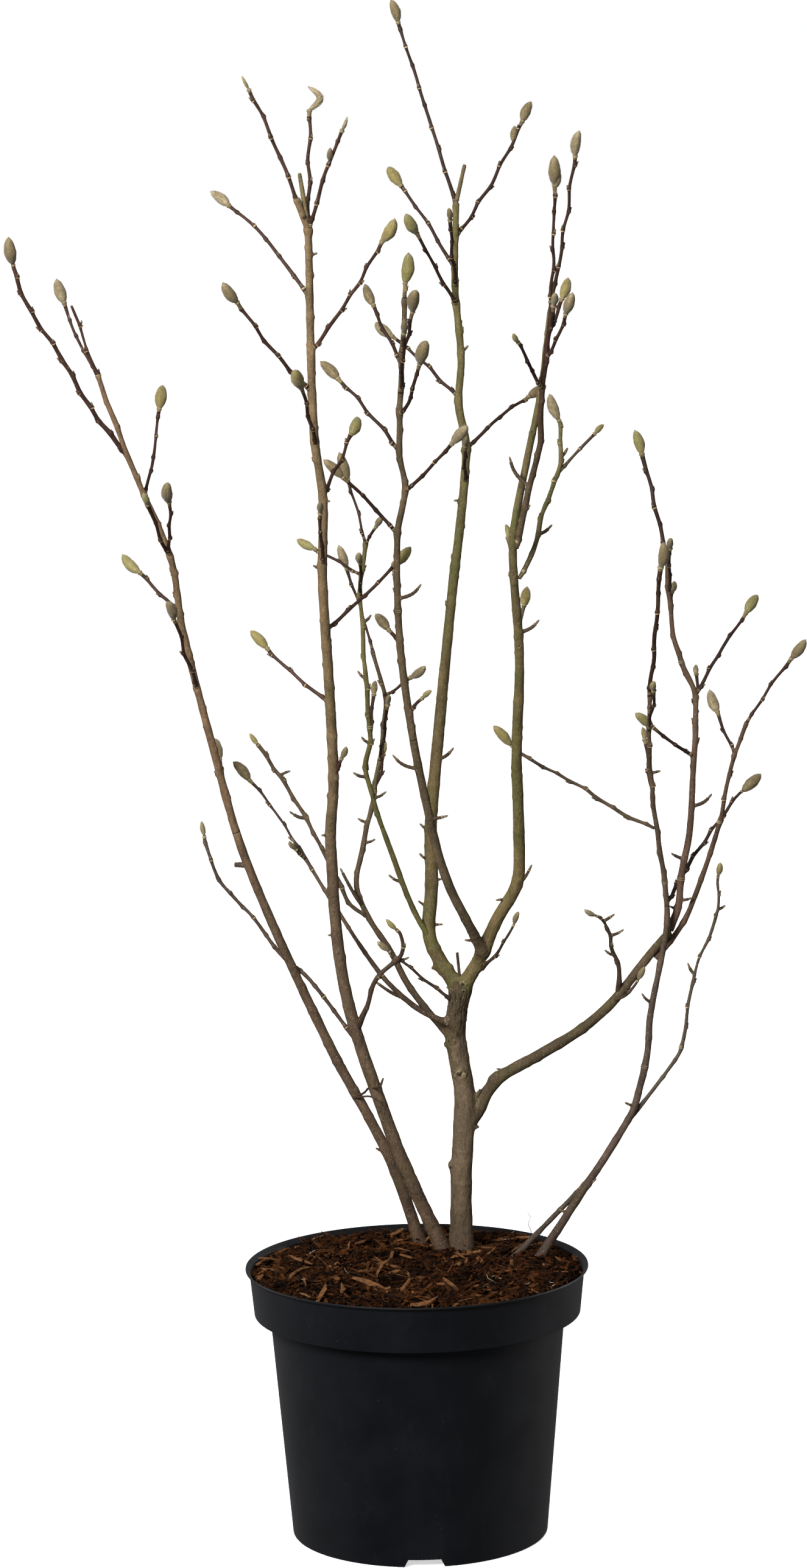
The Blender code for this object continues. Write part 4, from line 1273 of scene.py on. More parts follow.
def shoot_bumps(path, shoots):
    """Swellings under the shoots."""
    bumps = []
    for points, _ in shoots:
        run = path.run[np.linalg.norm(path.points - np.array(points[0]), axis=1).argmin()]
        bumps.append((run, path.angle_of(run, np.array(points[1] - points[0])), 0.6, 3.5, 3.0))
        bumps.append((run, None, 0.25, 4.0, 1.0))
    return bumps


def dress_bough(name, path, split, relief, rng):
    """The part of a limb below its crown. Its foot is left to the trunk's skin where it is melted."""
    foot = -1.0
    low, high = path.run_at_height(SOIL_HEIGHT), min(split, path.run[-1])
    if name in MELTED:
        low = MELTED[name]
        foot = low - MELT_OVERLAP
        own = path.part(-1.0, min(low, path.run[-1]) + 0.1)
        own.radii = own.radii - 0.5 * np.clip((own.run - low + 6) / 6, 0, 1)
        melted.append((name, own, relief))
    if low >= high:
        return
    stretch = path.part(foot, split + BOUGH_STEP)
    if name in MELTED:
        stretch.radii = stretch.radii - 0.7 * np.clip(1 - (stretch.run - stretch.run[0]) / 8, 0, 1)
    bough = Batch()
    surface = skin(bough, stretch, BOUGH_SIDES, relief)
    nodes = [f"{name}_bough"] + ["right_stem_foot"] * (name == "right_stem")
    bough.piece(f"{name}_bark", looks[name], "bark", *nodes)
    strew_pores(stretch, surface, low, high, MORE_PORES.get(name, PLAIN_PORES), rng)


def dress_leader(name, path, split, relief, crown, twig_batch, rng):
    """The part of a limb in its crown, which may end in thin, dark wood."""
    stretch = path.part(split, path.run[-1])
    if name in DARK_ENDS:
        height, keep = DARK_ENDS[name]
        change = path.run_at_height(height)
        thin = path.part(change, path.run[-1])
        thin.radii = thin.radii * keep
        skin(twig_batch, thin, TWIG_SIDES, relief, (0.0, 0.5))
        cuff(growth_rings, path, change, 3.4, 0.4, 14)
        stretch = path.part(split, change + 1.0)
    surface = skin(crown, stretch, LEADER_SIDES, relief, (0.0, 0.5))
    strew_pores(stretch, surface, max(split, 0.0), path.run[-1], 1.0, rng)


def add_old_wood(points, length, end_radius, seed, batch):
    """The leader's older wood, carried on over the foot of a shoot."""
    own = Path(smooth_path(points[:-BUD_END], LEADER_STEP), None).part(-1.0, length)
    own.radii = np.linspace(end_radius * 1.02, end_radius * 0.9, len(own.run))
    bumps = [(own.run[-1] - 2, None, 0.4, 2.5, 1.0)]
    skin(batch, own, LEADER_SIDES, bark_relief(seed, 0.1, 0.15, bumps), (0.0, 0.3))


def grow_limb(name, limb, shoots, crown, twig_batch):
    """Dresses one limb with all that grows on it; returns where its buds are."""
    rng = random.Random(f"{SEED} bark {name}")
    lone = limb.crown_from == 0
    path, bud_at = limb_path(name, limb, LEADER_STEP if lone else BOUGH_STEP)
    split = crown_run(path, limb)
    bumps = ring_bumps(name, limb, path)
    spacing = NODE_SPACING * (LONE_SPACING if lone else 1.0)
    nodes = nodes_of(path, max(split, 0.0) + (FIRST_LONE_NODE if lone else FIRST_NODE), spacing, rng)
    path = kinked(path, nodes)
    bumps += dress_nodes(path, nodes, spacing, rng)
    first = path.run_at_height(SOIL_HEIGHT) + 30 if "soil" in limb.seats else 24.0
    bumps += chance_bumps(path, first, min(split, path.run[-1]) - 8, rng)
    bumps += grow_spurs(name, path, rng) + shoot_bumps(path, shoots)
    seed = sum(map(ord, name))
    if split > 0:
        furrows = [(path.run_at_height(row[0]), *row[1:]) for row in FURROWS.get(name, ())]
        relief = bark_relief(seed, 0.16, 0.02 * path.radii[0] + 0.08, bumps, furrows)
        dress_bough(name, path, split, relief, rng)
    if split < path.run[-1]:
        dress_leader(name, path, split, bark_relief(seed, 0.14, 0.22, bumps), crown, twig_batch, rng)
    buds = []
    for index, (points, radii) in enumerate(shoots):
        key = (name, index)
        base, tip = grow_shoot(points, radii, twig_batch, index, name)
        buds.append((base, tip, BUD_KINDS.get(key, "small" if index in SMALL_BUDS.get(name, ()) else "")))
        if key in SECOND_BUDS:
            side, back, length = SECOND_BUDS[key]
            heading = unit(tip - base)
            foot = base - heading * back + np.array([side * 1.2, 0, 0])
            buds.append((foot, foot + (heading + np.array([side * 0.25, -0.1, 0])) * length, ""))
        if key in OLD_WOOD:
            add_old_wood(points, OLD_WOOD[key], path.radii[-1], seed, crown)
    if bud_at:
        buds.append((np.array(bud_at[0]), np.array(bud_at[1]), ""))
        cuff(growth_rings, path, path.run[-1] - 2.0, 3.0, 0.5, 12, 1)
    return buds


def grow_shoot(points, radii, batch, index, name):
    """One shoot: a smooth line through the rule's nodes that swells and pales towards its bud."""
    rng = random.Random(f"{SEED} shoot {name} {index}")
    stem, bud_tip = points[:-BUD_END], points[-1]
    fine = smooth_path(stem, TWIG_STEP)
    share = np.array(shares_along(fine))
    widths = (radii[0] + (radii[-BUD_END - 1] - radii[0]) * share) * STOUT_SHOOTS.get((name, index), 1.0)
    path = Path(fine, widths)
    spacing = NODE_SPACING * SHOOT_SPACING
    nodes = nodes_of(path, NODE_SPACING * 0.45, spacing, rng)
    path = kinked(path, nodes)
    to_end = path.run[-1] - path.run
    bud_size = (bud_tip - stem[-1]).length / BUD_LENGTH
    path.radii = path.radii + 0.9 * bud_size * np.exp(-to_end / (7.0 * bud_size))
    bumps = dress_nodes(path, nodes, spacing, rng)
    bumps.append((0.0, None, 0.6, 6.0, 1.0))
    relief = bark_relief(index, 0.06, 0.1, bumps)
    last = path.run[-1] - max(TWIG_STEP * 2, rng.uniform(4.0, 10.0) * bud_size)
    skin(batch, path.part(-1e-6, last + TWIG_STEP), TWIG_SIDES, relief, (0.0, 0.0))
    skin(young_tips, path.part(last - TWIG_STEP * 0.5, path.run[-1]), TWIG_SIDES, relief, (0.0, 0.3))
    cuff(growth_rings, path, 6.0, 3.2, 0.4, 12)
    cuff(growth_rings, path, path.run[-1] - 1.2, 2.2, 0.55, 12, 1)
    return np.array(stem[-1]), np.array(bud_tip)


# The trunk with the limbs that part from it, under one skin

# The size of the skin's mesh, how far a limb runs on under it, and how softly two limbs meet
MELT_VOXEL = 0.8
MELT_OVERLAP = 12.0
MELT_BLEND = 2.0
MELT_SIDES = 28
MELT_ROUNDS = 4

# The height above which the trunk's bark is old and furrowed
OLD_BARK_HEIGHT = 478.0

# How far along each limb the trunk's skin covers it
MELTED = {
    "trunk": math.inf, "centre": 58.0, "right": 76.0, "centre_left": 40.0, "low_right": 62.0,
    "left_low": 22.0, "left_back": 22.0,
}

# Stubs and swellings of the trunk and its crotches: foot, end and two radii
STUBS = (
    ((44, 62, 342), (36.0, 59, 358), (4.4, 3.2)),
    ((50, 61, 396), (64.5, 61, 395.5), (1.8, 0.7)),
    ((60, 61, 425), (66, 60, 434), (1.2, 0.9)),
    ((45, 56, 508), (35, 53, 508), (3.8, 3.0)),
    ((44, 62, 483), (31, 62, 480), (2.0, 0.8)),
    ((78, 63, 444), (82, 62, 449.5), (3.4, 2.2)),
    ((49, 60, 538), (50, 54, 541), (5.6, 3.4)),
    ((28, 66, 557), (37.5, 62, 559), (3.4, 2.2)),
    ((24, 68, 558), (19.5, 66, 557), (2.4, 1.0)),
    ((64, 56, 560), (68.5, 52, 558), (2.8, 1.2)),
    ((69, 50, 577), (68, 44, 579), (4.6, 3.0)),
)

# Healed wounds on the front: place across and up, half width, half height, and how hollow.
# Beyond OPEN_WOUND the ring of new wood leaves a hollow free, with a dark patch of painted shade in it.
OPEN_WOUND = 0.5
WOUNDS = (
    (45.6, 451.0, 5.4, 5.0, 1.0), (49.8, 543.0, 3.6, 3.2, 0.7), (38.0, 536.5, 2.0, 2.4, 0.0),
    (33.6, 507.0, 2.4, 4.4, 0.0), (63.4, 420.5, 1.6, 5.4, 0.0), (35.4, 356.5, 1.7, 2.6, 0.8),
    (50.0, 536.5, 2.6, 2.2, 0.9),
)


def remeshed(batch, voxel):
    """The closed tubes of a batch under one even mesh of quads."""
    mesh = batch.mesh("melting")
    obj = linked("melting", mesh)
    change = obj.modifiers.new("voxels", "REMESH")
    change.mode = "VOXEL"
    change.voxel_size = voxel * MM
    made = obj.evaluated_get(bpy.context.evaluated_depsgraph_get()).to_mesh()
    places = np.empty(len(made.vertices) * 3)
    made.vertices.foreach_get("co", places)
    corners = np.empty(len(made.loops), int)
    made.loops.foreach_get("vertex_index", corners)
    bpy.data.objects.remove(obj)
    bpy.data.meshes.remove(mesh)
    return places.reshape(-1, 3) / MM, corners.reshape(-1, 4)


def around(path, places):
    """For each place its distance from the limb's surface, its run, radius, direction out and angle."""
    nearest = np.concatenate([
        np.argmin(((block[:, None, :] - path.points[None]) ** 2).sum(axis=-1), axis=1)
        for block in np.array_split(places, max(1, len(places) // 4000))
    ])
    away = places - path.points[nearest]
    slide = (away * path.along[nearest]).sum(axis=1)
    back, on = np.where(nearest == 0, 0.0, -2.0), np.where(nearest == len(path.run) - 1, 0.0, 2.0)
    slide = np.clip(slide, back, on)
    away = away - path.along[nearest] * slide[:, None]
    far = np.linalg.norm(away, axis=1)
    out = away / np.maximum(far, 1e-6)[:, None]
    run = path.run[nearest] + slide
    radius = np.interp(run, path.run, path.radii)
    angle = np.arctan2((out * path.up[nearest]).sum(axis=1), (out * path.side[nearest]).sum(axis=1))
    return far - radius, run, radius, out, angle


def nearest_to(surface, across, height):
    """How far back the surface lies at a place seen from the front."""
    return surface[((surface[:, (0, 2)] - (across, height)) ** 2).sum(axis=1).argmin(), 1]


def callus(across, height, half_width, half_height, hollow, surface):
    """The pale, broken ring of new wood round a wound, and a dark patch of painted shade in its hollow."""
    rng = random.Random(f"{SEED} callus {across}")
    size = min(half_width, half_height)
    for share, girth in ((0.95, 0.17), (0.7, 0.13), (0.45, 0.1)):
        turn = rng.uniform(-0.4, 0.4)
        while turn < math.pi * (1.0 if hollow > OPEN_WOUND else 1.6) - 0.4:
            sweep = rng.uniform(0.5, 1.3)
            points = []
            for angle in np.linspace(turn, turn + sweep, 9):
                reach = share * (1 + 0.1 * math.sin(angle * 5 + across))
                x = across + half_width * reach * math.cos(angle)
                z = height + half_height * reach * math.sin(angle)
                points.append((x, nearest_to(surface, x, z) - 0.05, z))
            swell = np.sin(np.linspace(0.25, math.pi - 0.25, 9))
            skin(calluses, Path(points, size * girth * swell), 8, None, (0.5, 0.5))
            turn += sweep + rng.uniform(0.15, 0.6)
    if hollow > OPEN_WOUND:
        z = height - 0.2 * half_height
        centre = np.array([across, nearest_to(surface, across, z) - 0.25, z])
        # A dark dome of painted shade in the open wound's hollow.
        dome(hollow_shading, centre, -BACK, np.array(UP), half_height * 1.4, half_width * 1.6, 0.8, 18)


def melted_surface(limbs):
    """The skin round all the limbs, rounded where they meet: its places, faces and directions out,
    each limb's share in it, and where each place lies on each limb."""
    tubes = Batch()
    for _, path, _ in limbs:
        skin(tubes, path, MELT_SIDES, None, (0.5, 0.5))
    places, quads = remeshed(tubes, MELT_VOXEL)
    for _ in range(MELT_ROUNDS):
        found = [around(path, places) for _, path, _ in limbs]
        gaps = np.stack([found_one[0] for found_one in found])
        weights = np.exp(-(gaps - gaps.min(axis=0)) / MELT_BLEND)
        level = gaps.min(axis=0) - MELT_BLEND * np.log(weights.sum(axis=0))
        weights = weights / weights.sum(axis=0)
        out = sum(weight[:, None] * found_one[3] for weight, found_one in zip(weights, found))
        out = out / np.maximum(np.linalg.norm(out, axis=1), 0.3)[:, None]
        places = places - out * level[:, None] * 0.9
    return places, quads, out, weights, found


def wound_lift(places, front):
    """How the wounds raise the bark round them and sink in at their middle."""
    lift = 0.0
    for across, height, half_width, half_height, hollow in WOUNDS:
        aside, above = (places[:, 0] - across) / half_width, (places[:, 2] - height) / half_height
        near = np.hypot(aside, above) * (1 + 0.3 * rough(places, 3.0, 31))
        size = min(half_width, half_height)
        swell = bell(near, 0.8, 0.4) * (1 + 0.5 * np.clip(above, -1, 1))
        lift = lift + front * size * (0.25 * swell + 0.08 * rough(places, 1.3, 34) * (near < 1.5))
        lift = lift - front * size * 0.5 * hollow * bell(near, 0, 0.5)
    return lift


def make_trunk():
    """The trunk, its crotches filled where limbs meet, with wounds, furrows and stubs."""
    limbs = list(melted)
    for foot, end, radii in STUBS:
        steps = np.linspace(0, 1, 12)[:, None]
        own = Path(np.array(foot) * (1 - steps) + np.array(end) * steps, np.linspace(*radii, 12))
        limbs.append((None, own, bark_relief(5, 0.15, 0.25, ())))
    places, quads, out, weights, found = melted_surface(limbs)
    lift = np.zeros(len(places))
    for (_, _, relief), weight, (_, run, radius, _, angle) in zip(limbs, weights, found):
        rows = np.nonzero(weight > 0.02)[0]
        if len(rows):
            lift[rows] += weight[rows] * relief(places[rows], run[rows], radius[rows], angle[rows])
    seen = [name for name, _, _ in melted] + ["trunk_top"]
    ragged = weights * (1 + 0.7 * np.stack([rough(places, 7.0, 60 + k) for k in range(len(limbs))]))
    kinds = ragged[: len(melted)].argmax(axis=0)
    edge = OLD_BARK_HEIGHT + 26 * rough(places, 16.0, 51) + 14 * rough(places, 4.0, 52)
    kinds[(kinds == 0) & (places[:, 2] > edge)] = seen.index("trunk_top")
    front = np.clip(-out[:, 1] * 3, 0, 1)
    places = places + out * (lift + wound_lift(places, front))[:, None]
    mesh = bpy.data.meshes.new("trunk_bark")
    mesh.from_pydata((places * MM).tolist(), [], quads.tolist())
    mesh.shade_smooth()
    for name in seen:
        mesh.materials.append(looks[name])
    mesh.polygons.foreach_set("material_index", kinds[quads[:, 0]].astype(np.int32))
    add_piece("trunk_bark", mesh, "bark", "trunk")
    for wound in WOUNDS:
        callus(*wound, places[front > 0.5])
    chance = lattice(np.round(places * 10).astype(np.int64), 77)
    picked = chance > 1 - 2 * PORES_PER_AREA * MELT_VOXEL**2 * 0.9
    rng = random.Random(SEED)
    for row in np.nonzero(picked & (places[:, 2] > SOIL_HEIGHT + 2))[0]:
        pale_pore(places[row], out[row], np.array(UP), rng.uniform(0.5, 1.1))


# Flower buds

# (silk, hair, how many hairs, how often) of the sorts of bud
BUD_SORTS = (
    ((0.17, 0.127, 0.058), (0.35, 0.272, 0.135), 760, 0.34),
    ((0.235, 0.203, 0.058), (0.41, 0.35, 0.17), 520, 0.17),
    ((0.21, 0.16, 0.082), (0.45, 0.365, 0.21), 760, 0.2),
    ((0.15, 0.11, 0.048), (0.31, 0.235, 0.115), 760, 0.17),
    ((0.25, 0.198, 0.057), (0.39, 0.315, 0.135), 600, 0.12),
)
SMALL_BUD_SIZE = 0.6
BUD_SIDES = 22
BUD_FULLNESS = (0.78, 0.94)
BUD_WIDTHS = {"curled": 0.6, "slim": 0.5}
CURL = np.array((0.42, 0.1, 0.0))
HAIR_LENGTHS = (3.5, 6.5)
HAIR_HALF_WIDTH = 0.12


def bud_outline():
    """How wide a bud is at each share of its length, smoothed through the source's rings."""
    knots = [(width, 0.0, place) for place, width in BUD_RINGS]
    return np.array([(point.z, point.x) for point in smooth_path(knots, 0.045)])


def flower_bud(body, coat, hairs, base, tip, kind, outline, rng):
    """An ovate bud of two silky scales with its coat of hairs; a few are curled or slim."""
    reach = (tip - base) * (SMALL_BUD_SIZE if kind == "small" else 1.0)
    length = np.linalg.norm(reach)
    width = BUD_RADIUS * length / BUD_LENGTH * rng.uniform(*BUD_FULLNESS) * BUD_WIDTHS.get(kind, 1.0)
    bow = unit(np.cross(reach / length, rng.normal(size=3))) * length * rng.uniform(0.02, 0.08)
    if kind == "curled":
        bow = CURL * length
    places = base + np.outer(outline[:, 0], reach) + np.outer(np.sin(outline[:, 0] * math.pi), bow)
    path = Path(places, outline[:, 1] * width)
    seam, lap = rng.uniform(0, math.tau), rng.uniform(0.25, 0.5)

    def relief(_, runs, radii, flat):
        share = np.broadcast_to(outline[:, :1], flat.shape)
        groove = bell(turn_from(flat, seam), 0, 0.2)
        lip = bell(share - lap - 0.12 * np.cos(flat - seam), 0, 0.05)
        silk = np.sin(flat * 11 + share * 5) * 0.025
        return width * (-0.12 * groove * (share > 0.12) + 0.05 * lip + silk) * outline[:, 1:]

    skin(body, path, BUD_SIDES, relief, (0.0, 1.0))
    add_hairs(coat, path, int(hairs * length / BUD_LENGTH), length / BUD_LENGTH, rng)


def add_hairs(coat, path, count, size, rng):
    """Flat tapering hairs on a bud that lie towards its tip; a few stand off."""
    share = rng.uniform(0.0, 0.9, count)
    angle = rng.uniform(0, math.tau, count)
    rows = share * (len(path.points) - 1)
    low = rows.astype(int)
    part = (rows - low)[:, None]
    centre = path.points[low] * (1 - part) + path.points[low + 1] * part
    radius = (path.radii[low] * (1 - part[:, 0]) + path.radii[low + 1] * part[:, 0])[:, None]
    out = path.side[low] * np.cos(angle)[:, None] + path.up[low] * np.sin(angle)[:, None]
    across = np.cross(path.along[low], out)
    step = np.linalg.norm(path.points[low + 1] - path.points[low], axis=1)
    slope = ((path.radii[low + 1] - path.radii[low]) / step)[:, None]
    forward = path.along[low] + out * np.clip(slope, -0.9, 1.2)
    forward = forward / np.linalg.norm(forward, axis=1)[:, None]
    long = rng.uniform(*HAIR_LENGTHS, (count, 1)) * size**0.7 * (1 - 0.55 * share[:, None] ** 3)
    lift = rng.uniform(0.0, 0.12, (count, 1)) + 0.2 * (rng.random((count, 1)) < 0.16)
    lean = rng.normal(0, 0.13, (count, 1))
    root = centre + out * radius * 0.97
    middle = root + (forward + out * lift + across * lean) * long * 0.5
    turned_in = forward - out * (0.1 + 0.5 * share[:, None] ** 2)
    end = middle + (turned_in + out * lift + across * lean * 1.5) * long * 0.5
    half = across * HAIR_HALF_WIDTH
    verts = np.stack([root - half, root + half, middle + half * 0.8, middle - half * 0.8, end], axis=1)
    first = np.arange(count)[:, None] * 5
    coat.add(verts, first + np.array([0, 1, 2, 3]), first + np.array([3, 2, 4]))


def make_buds(places):
    """All flower buds, each of one of the sorts, with a piece for each sort's scales and hairs."""
    outline = bud_outline()
    bodies = [Batch() for _ in BUD_SORTS]
    coats = [Batch() for _ in BUD_SORTS]
    for index, (base, tip, kind) in enumerate(places):
        rng = np.random.default_rng([SEED, index])
        sort = int(rng.choice(len(bodies), p=[often for _, _, _, often in BUD_SORTS]))
        flower_bud(bodies[sort], coats[sort], BUD_SORTS[sort][2], base, tip, kind, outline, rng)
    for index, (silk, hair, _, _) in enumerate(BUD_SORTS):
        look = mottled(f"bud_scale_{index}", silk, 300.0, 0.3, 0.6, sheen=0.3)
        bodies[index].piece(f"flower_buds_{index}", look, "twigs_and_buds")
        look = mottled(f"bud_silk_{index}", hair, 500.0, 0.25, 0.5, depth=0.0, sheen=0.4)
        coats[index].piece(f"bud_hairs_{index}", look, "twigs_and_buds")


# Mulch

BED_RINGS = 76
BED_STEPS = 170
BED_FOOT = 230.5

# How near to the wall the mulch comes, and how much chips and fibres are tipped, each by chance
WALL_CLEAR = 164.2
CHIP_TIP = (0.28, 0.4)
FIBRE_TIP = (0.3, 0.4)
CHIP_SEED = 100
FIBRE_SEED = 200

# The bed is heaped against the wall at the back on the right, and sunk a little at the back on the left
HEAPED = math.radians(35)
SUNK = math.radians(106)

# (colour, how many, lengths, widths, heights above the bed) of the sorts of chip
CHIP_SORTS = (
    ((0.0135, 0.0041, 0.0008), 2300, (2, 16), (1.2, 4.0), (-1.5, 3.0)),
    ((0.029, 0.009, 0.0017), 1500, (3, 20), (1.1, 3.6), (-0.5, 4.0)),
    ((0.005, 0.0019, 0.0007), 1300, (3, 18), (1.6, 5), (-1.5, 3.0)),
    ((0.068, 0.0225, 0.0055), 420, (4, 30), (1.2, 4.4), (0.5, 4.5)),
    ((0.17, 0.076, 0.03), 115, (8, 36), (1.6, 6), (2.0, 6.0)),
    ((0.045, 0.0145, 0.003), 1500, (2, 9), (1.4, 5), (0.0, 4.0)),
)

# (colour, how many) of the sorts of fibre
FIBRE_SORTS = (((0.026, 0.0078, 0.0015), 1300), ((0.07, 0.025, 0.0062), 520), ((0.42, 0.36, 0.27), 40))


def soil_at(x, y):
    """The height of the mulch bed, a little bumpy and lower by the wall."""
    slope = np.clip((np.hypot(x, y) - SOIL_FLAT_RADIUS) / (BAND_TOP_RADIUS - WALL - SOIL_FLAT_RADIUS), 0, 1)
    level = SOIL_HEIGHT + (SOIL_EDGE_HEIGHT - SOIL_HEIGHT) * slope - 3.0
    bearing = np.arctan2(y, x)
    level = level + slope * (2.6 + 1.9 * np.cos(bearing - HEAPED) - 2.2 * bell(bearing, SUNK, 0.25))
    spots = stacked(x, y, np.zeros_like(x))
    lumps = 2.4 * rough(spots, 38.0, 4) + 2.2 * rough(spots, 17.0, 5) + 1.5 * rough(spots, 7.0, 6)
    return level + lumps + 0.8 * rough(spots, 3.0, 7)


def turned(count, rng, spread):
    """Random turns, about the upright by any angle and tipped a little."""
    yaw = rng.uniform(0, math.tau, count)
    tip = rng.normal(0, spread[0], count)
    rock = rng.normal(0, spread[1], count)
    cy, sy, cp, sp, cr, sr = np.cos(yaw), np.sin(yaw), np.cos(tip), np.sin(tip), np.cos(rock), np.sin(rock)
    rows = [cy * cp, cy * sp * sr - sy * cr, cy * sp * cr + sy * sr]
    rows += [sy * cp, sy * sp * sr + cy * cr, sy * sp * cr - cy * sr, -sp, cp * sr, cp * cr]
    return stacked(*rows).reshape(-1, 3, 3)


def strew(shapes, rng, lift, spread):
    """Turns small shapes and lays them on the bed, some places more crowded, all inside the wall."""
    count = len(shapes)
    distance = WALL_CLEAR * np.sqrt(rng.uniform(0, 1, 2 * count)) * 0.985
    bearing = rng.uniform(0, math.tau, 2 * count)
    spots = stacked(distance * np.cos(bearing), distance * np.sin(bearing), 0 * bearing)
    crowded = rough(spots, 24.0, count) + rough(spots, 9.0, count) + rng.uniform(-0.7, 0.7, 2 * count)
    x, y, _ = spots[np.argsort(-crowded)[:count]].T
    z = soil_at(x, y) + rng.uniform(*lift, count)
    placed = np.einsum("nij,nkj->nki", turned(count, rng, spread), shapes) + stacked(x, y, z)[:, None, :]
    away = np.hypot(placed[..., 0], placed[..., 1])
    placed[..., :2] *= np.where(away > WALL_CLEAR, WALL_CLEAR / np.maximum(away, 1e-6), 1.0)[..., None]
    return placed


def rods(placed, stations, corners):
    """A batch of shapes that all have so many stations with so many corners, closed at both ends."""
    sides = []
    for a in range((stations - 1) * corners):
        b = a - corners + 1 if a % corners == corners - 1 else a + 1
        sides.append((a, b, b + corners, a + corners))
    last = range((stations - 1) * corners, stations * corners)
    ends = [(0, *range(corners - 1, 0, -1)), tuple(last)]
    offsets = (np.arange(len(placed)) * stations * corners)[:, None, None]
    batch = Batch()
    batch.add(placed, *[(np.array(rows)[None] + offsets).reshape(-1, len(rows[0])) for rows in (sides, ends)])
    return batch


def chip_shapes(count, rng, lengths, widths):
    """Torn flakes of bark: four stations of four corners, jagged and a little bent."""
    long = lengths[0] + (lengths[1] - lengths[0]) * rng.uniform(0, 1, count) ** 1.9
    wide = np.minimum(rng.uniform(*widths, count), long * rng.uniform(0.25, 0.8, count))
    thick = rng.uniform(0.6, 2.4, count)
    stations = np.array([-0.5, -0.2, 0.2, 0.5])
    taper = stacked(*(rng.uniform(0.25, 1.0, count) ** share for share in (1.0, 0.3, 0.3, 1.0)))
    x = np.repeat(stations, 4)[None, :] * long[:, None]
    y = np.tile((-0.5, 0.5, 0.5, -0.5), 4)[None, :] * np.repeat(taper, 4, axis=1) * wide[:, None]
    z = np.tile((-0.5, -0.5, 0.5, 0.5), 4)[None, :] * np.repeat(taper**0.5, 4, axis=1) * thick[:, None]
    z = z + rng.uniform(-0.012, 0.012, count)[:, None] * x * x
    y = y + rng.uniform(-0.012, 0.012, count)[:, None] * x * x
    shapes = stacked(x, y, z)
    return shapes + rng.normal(0, 1.0, shapes.shape) * stacked(long * 0.05, wide * 0.1, thick * 0.13)[:, None]


def fibre_shapes(count, rng):
    """Thin shreds of bark: five stations of three corners on a curved line."""
    long = (3 + 17 * rng.uniform(0, 1, count) ** 2)[:, None]
    thick = rng.uniform(0.16, 0.5, count)
    t = np.linspace(-0.5, 0.5, 5)[None, :]
    y = rng.uniform(-0.7, 0.7, count)[:, None] * (t * t) * long
    y = y + rng.uniform(-0.12, 0.12, count)[:, None] * np.sin(t * 9) * long
    z = rng.uniform(-0.35, 0.5, count)[:, None] * (t * t) * long
    line = stacked(t * long, y, z)
    turn = np.arange(3) * math.tau / 3
    ring = stacked(np.zeros(3), np.cos(turn), np.sin(turn))
    girth = thick[:, None] * (1.0 - 1.4 * t * t)
    return (line[:, :, None, :] + ring * girth[:, :, None, None]).reshape(count, 15, 3)


def make_bed():
    """The bumpy bed under the chips, closed below."""
    edge = BAND_TOP_RADIUS - THIN_WALL - 0.4
    radii = edge * (np.arange(1, BED_RINGS + 1) / BED_RINGS) ** 0.8
    angles = np.arange(BED_STEPS) * math.tau / BED_STEPS
    x = (radii[:, None] * np.cos(angles)).ravel()
    y = (radii[:, None] * np.sin(angles)).ravel()
    top = stacked(x, y, soil_at(x, y))
    foot = top[-BED_STEPS:] * (0.97, 0.97, 0.0) + (0, 0, BED_FOOT)
    ends = (0, 0, soil_at(np.zeros(1), np.zeros(1))[0]), (0, 0, BED_FOOT)
    faces = tube_faces(BED_RINGS + 1, BED_STEPS)
    bed = Batch()
    bed.add(np.vstack([top, foot, ends]), *[np.roll(rows[:, ::-1], 1, axis=1) for rows in faces])
    soil = mottled("mulch_bed", (0.008, 0.0025, 0.0007), 320.0, 0.8, 0.95, depth=0.001, specular=0.03)
    bed.piece("mulch_bed", soil, "bark_mulch", "bark_mulch")


def make_mulch():
    make_bed()
    for index, (colour, count, lengths, widths, lift) in enumerate(CHIP_SORTS):
        rng = np.random.default_rng([SEED, CHIP_SEED + index])
        placed = strew(chip_shapes(count, rng, lengths, widths), rng, lift, CHIP_TIP)
        wood = mottled(f"bark_chips_{index}", colour, 260.0, 0.6, 0.85, depth=0.0006, specular=0.08)
        rods(placed, 4, 4).piece(f"bark_chips_{index}", wood, "bark_mulch", smooth=False)
    for index, (colour, count) in enumerate(FIBRE_SORTS):
        rng = np.random.default_rng([SEED, FIBRE_SEED + index])
        placed = strew(fibre_shapes(count, rng), rng, (0.0, 6.0), FIBRE_TIP)
        shred = mottled(f"bark_fibres_{index}", colour, 300.0, 0.4, 0.9, depth=0.0001, specular=0.2)
        rods(placed, 5, 3).piece(f"bark_fibres_{index}", shred, "bark_mulch")


# Pot

POT_STEPS = 192
CORNER_STEPS = 4

# The moulded wall, its out-turned lip, and the sharp lower edge of the band
THIN_WALL = 1.4
LIP_DEPTH = 3.6
BAND_EDGE = 224.5

# Edges of the pot that are bent by more than this look sharp
SHARP_ANGLE = math.radians(50)


def rounded(profile):
    """A profile whose corners are turned into short arcs. Each corner is (radius, height, round)."""
    points = []
    for before, (x, z, r), after in zip(profile, profile[1:], profile[2:]):
        corner, before, after = np.array([x, z]), np.array(before[:2]), np.array(after[:2])
        if r == 0:
            points.append(tuple(corner))
            continue
        start = corner + unit(before - corner) * r
        end = corner + unit(after - corner) * r
        for i in range(CORNER_STEPS + 1):
            t = i / CORNER_STEPS
            points.append(tuple(start * (1 - t) ** 2 + corner * 2 * t * (1 - t) + end * t * t))
    return [profile[0][:2], *points, profile[-1][:2]]


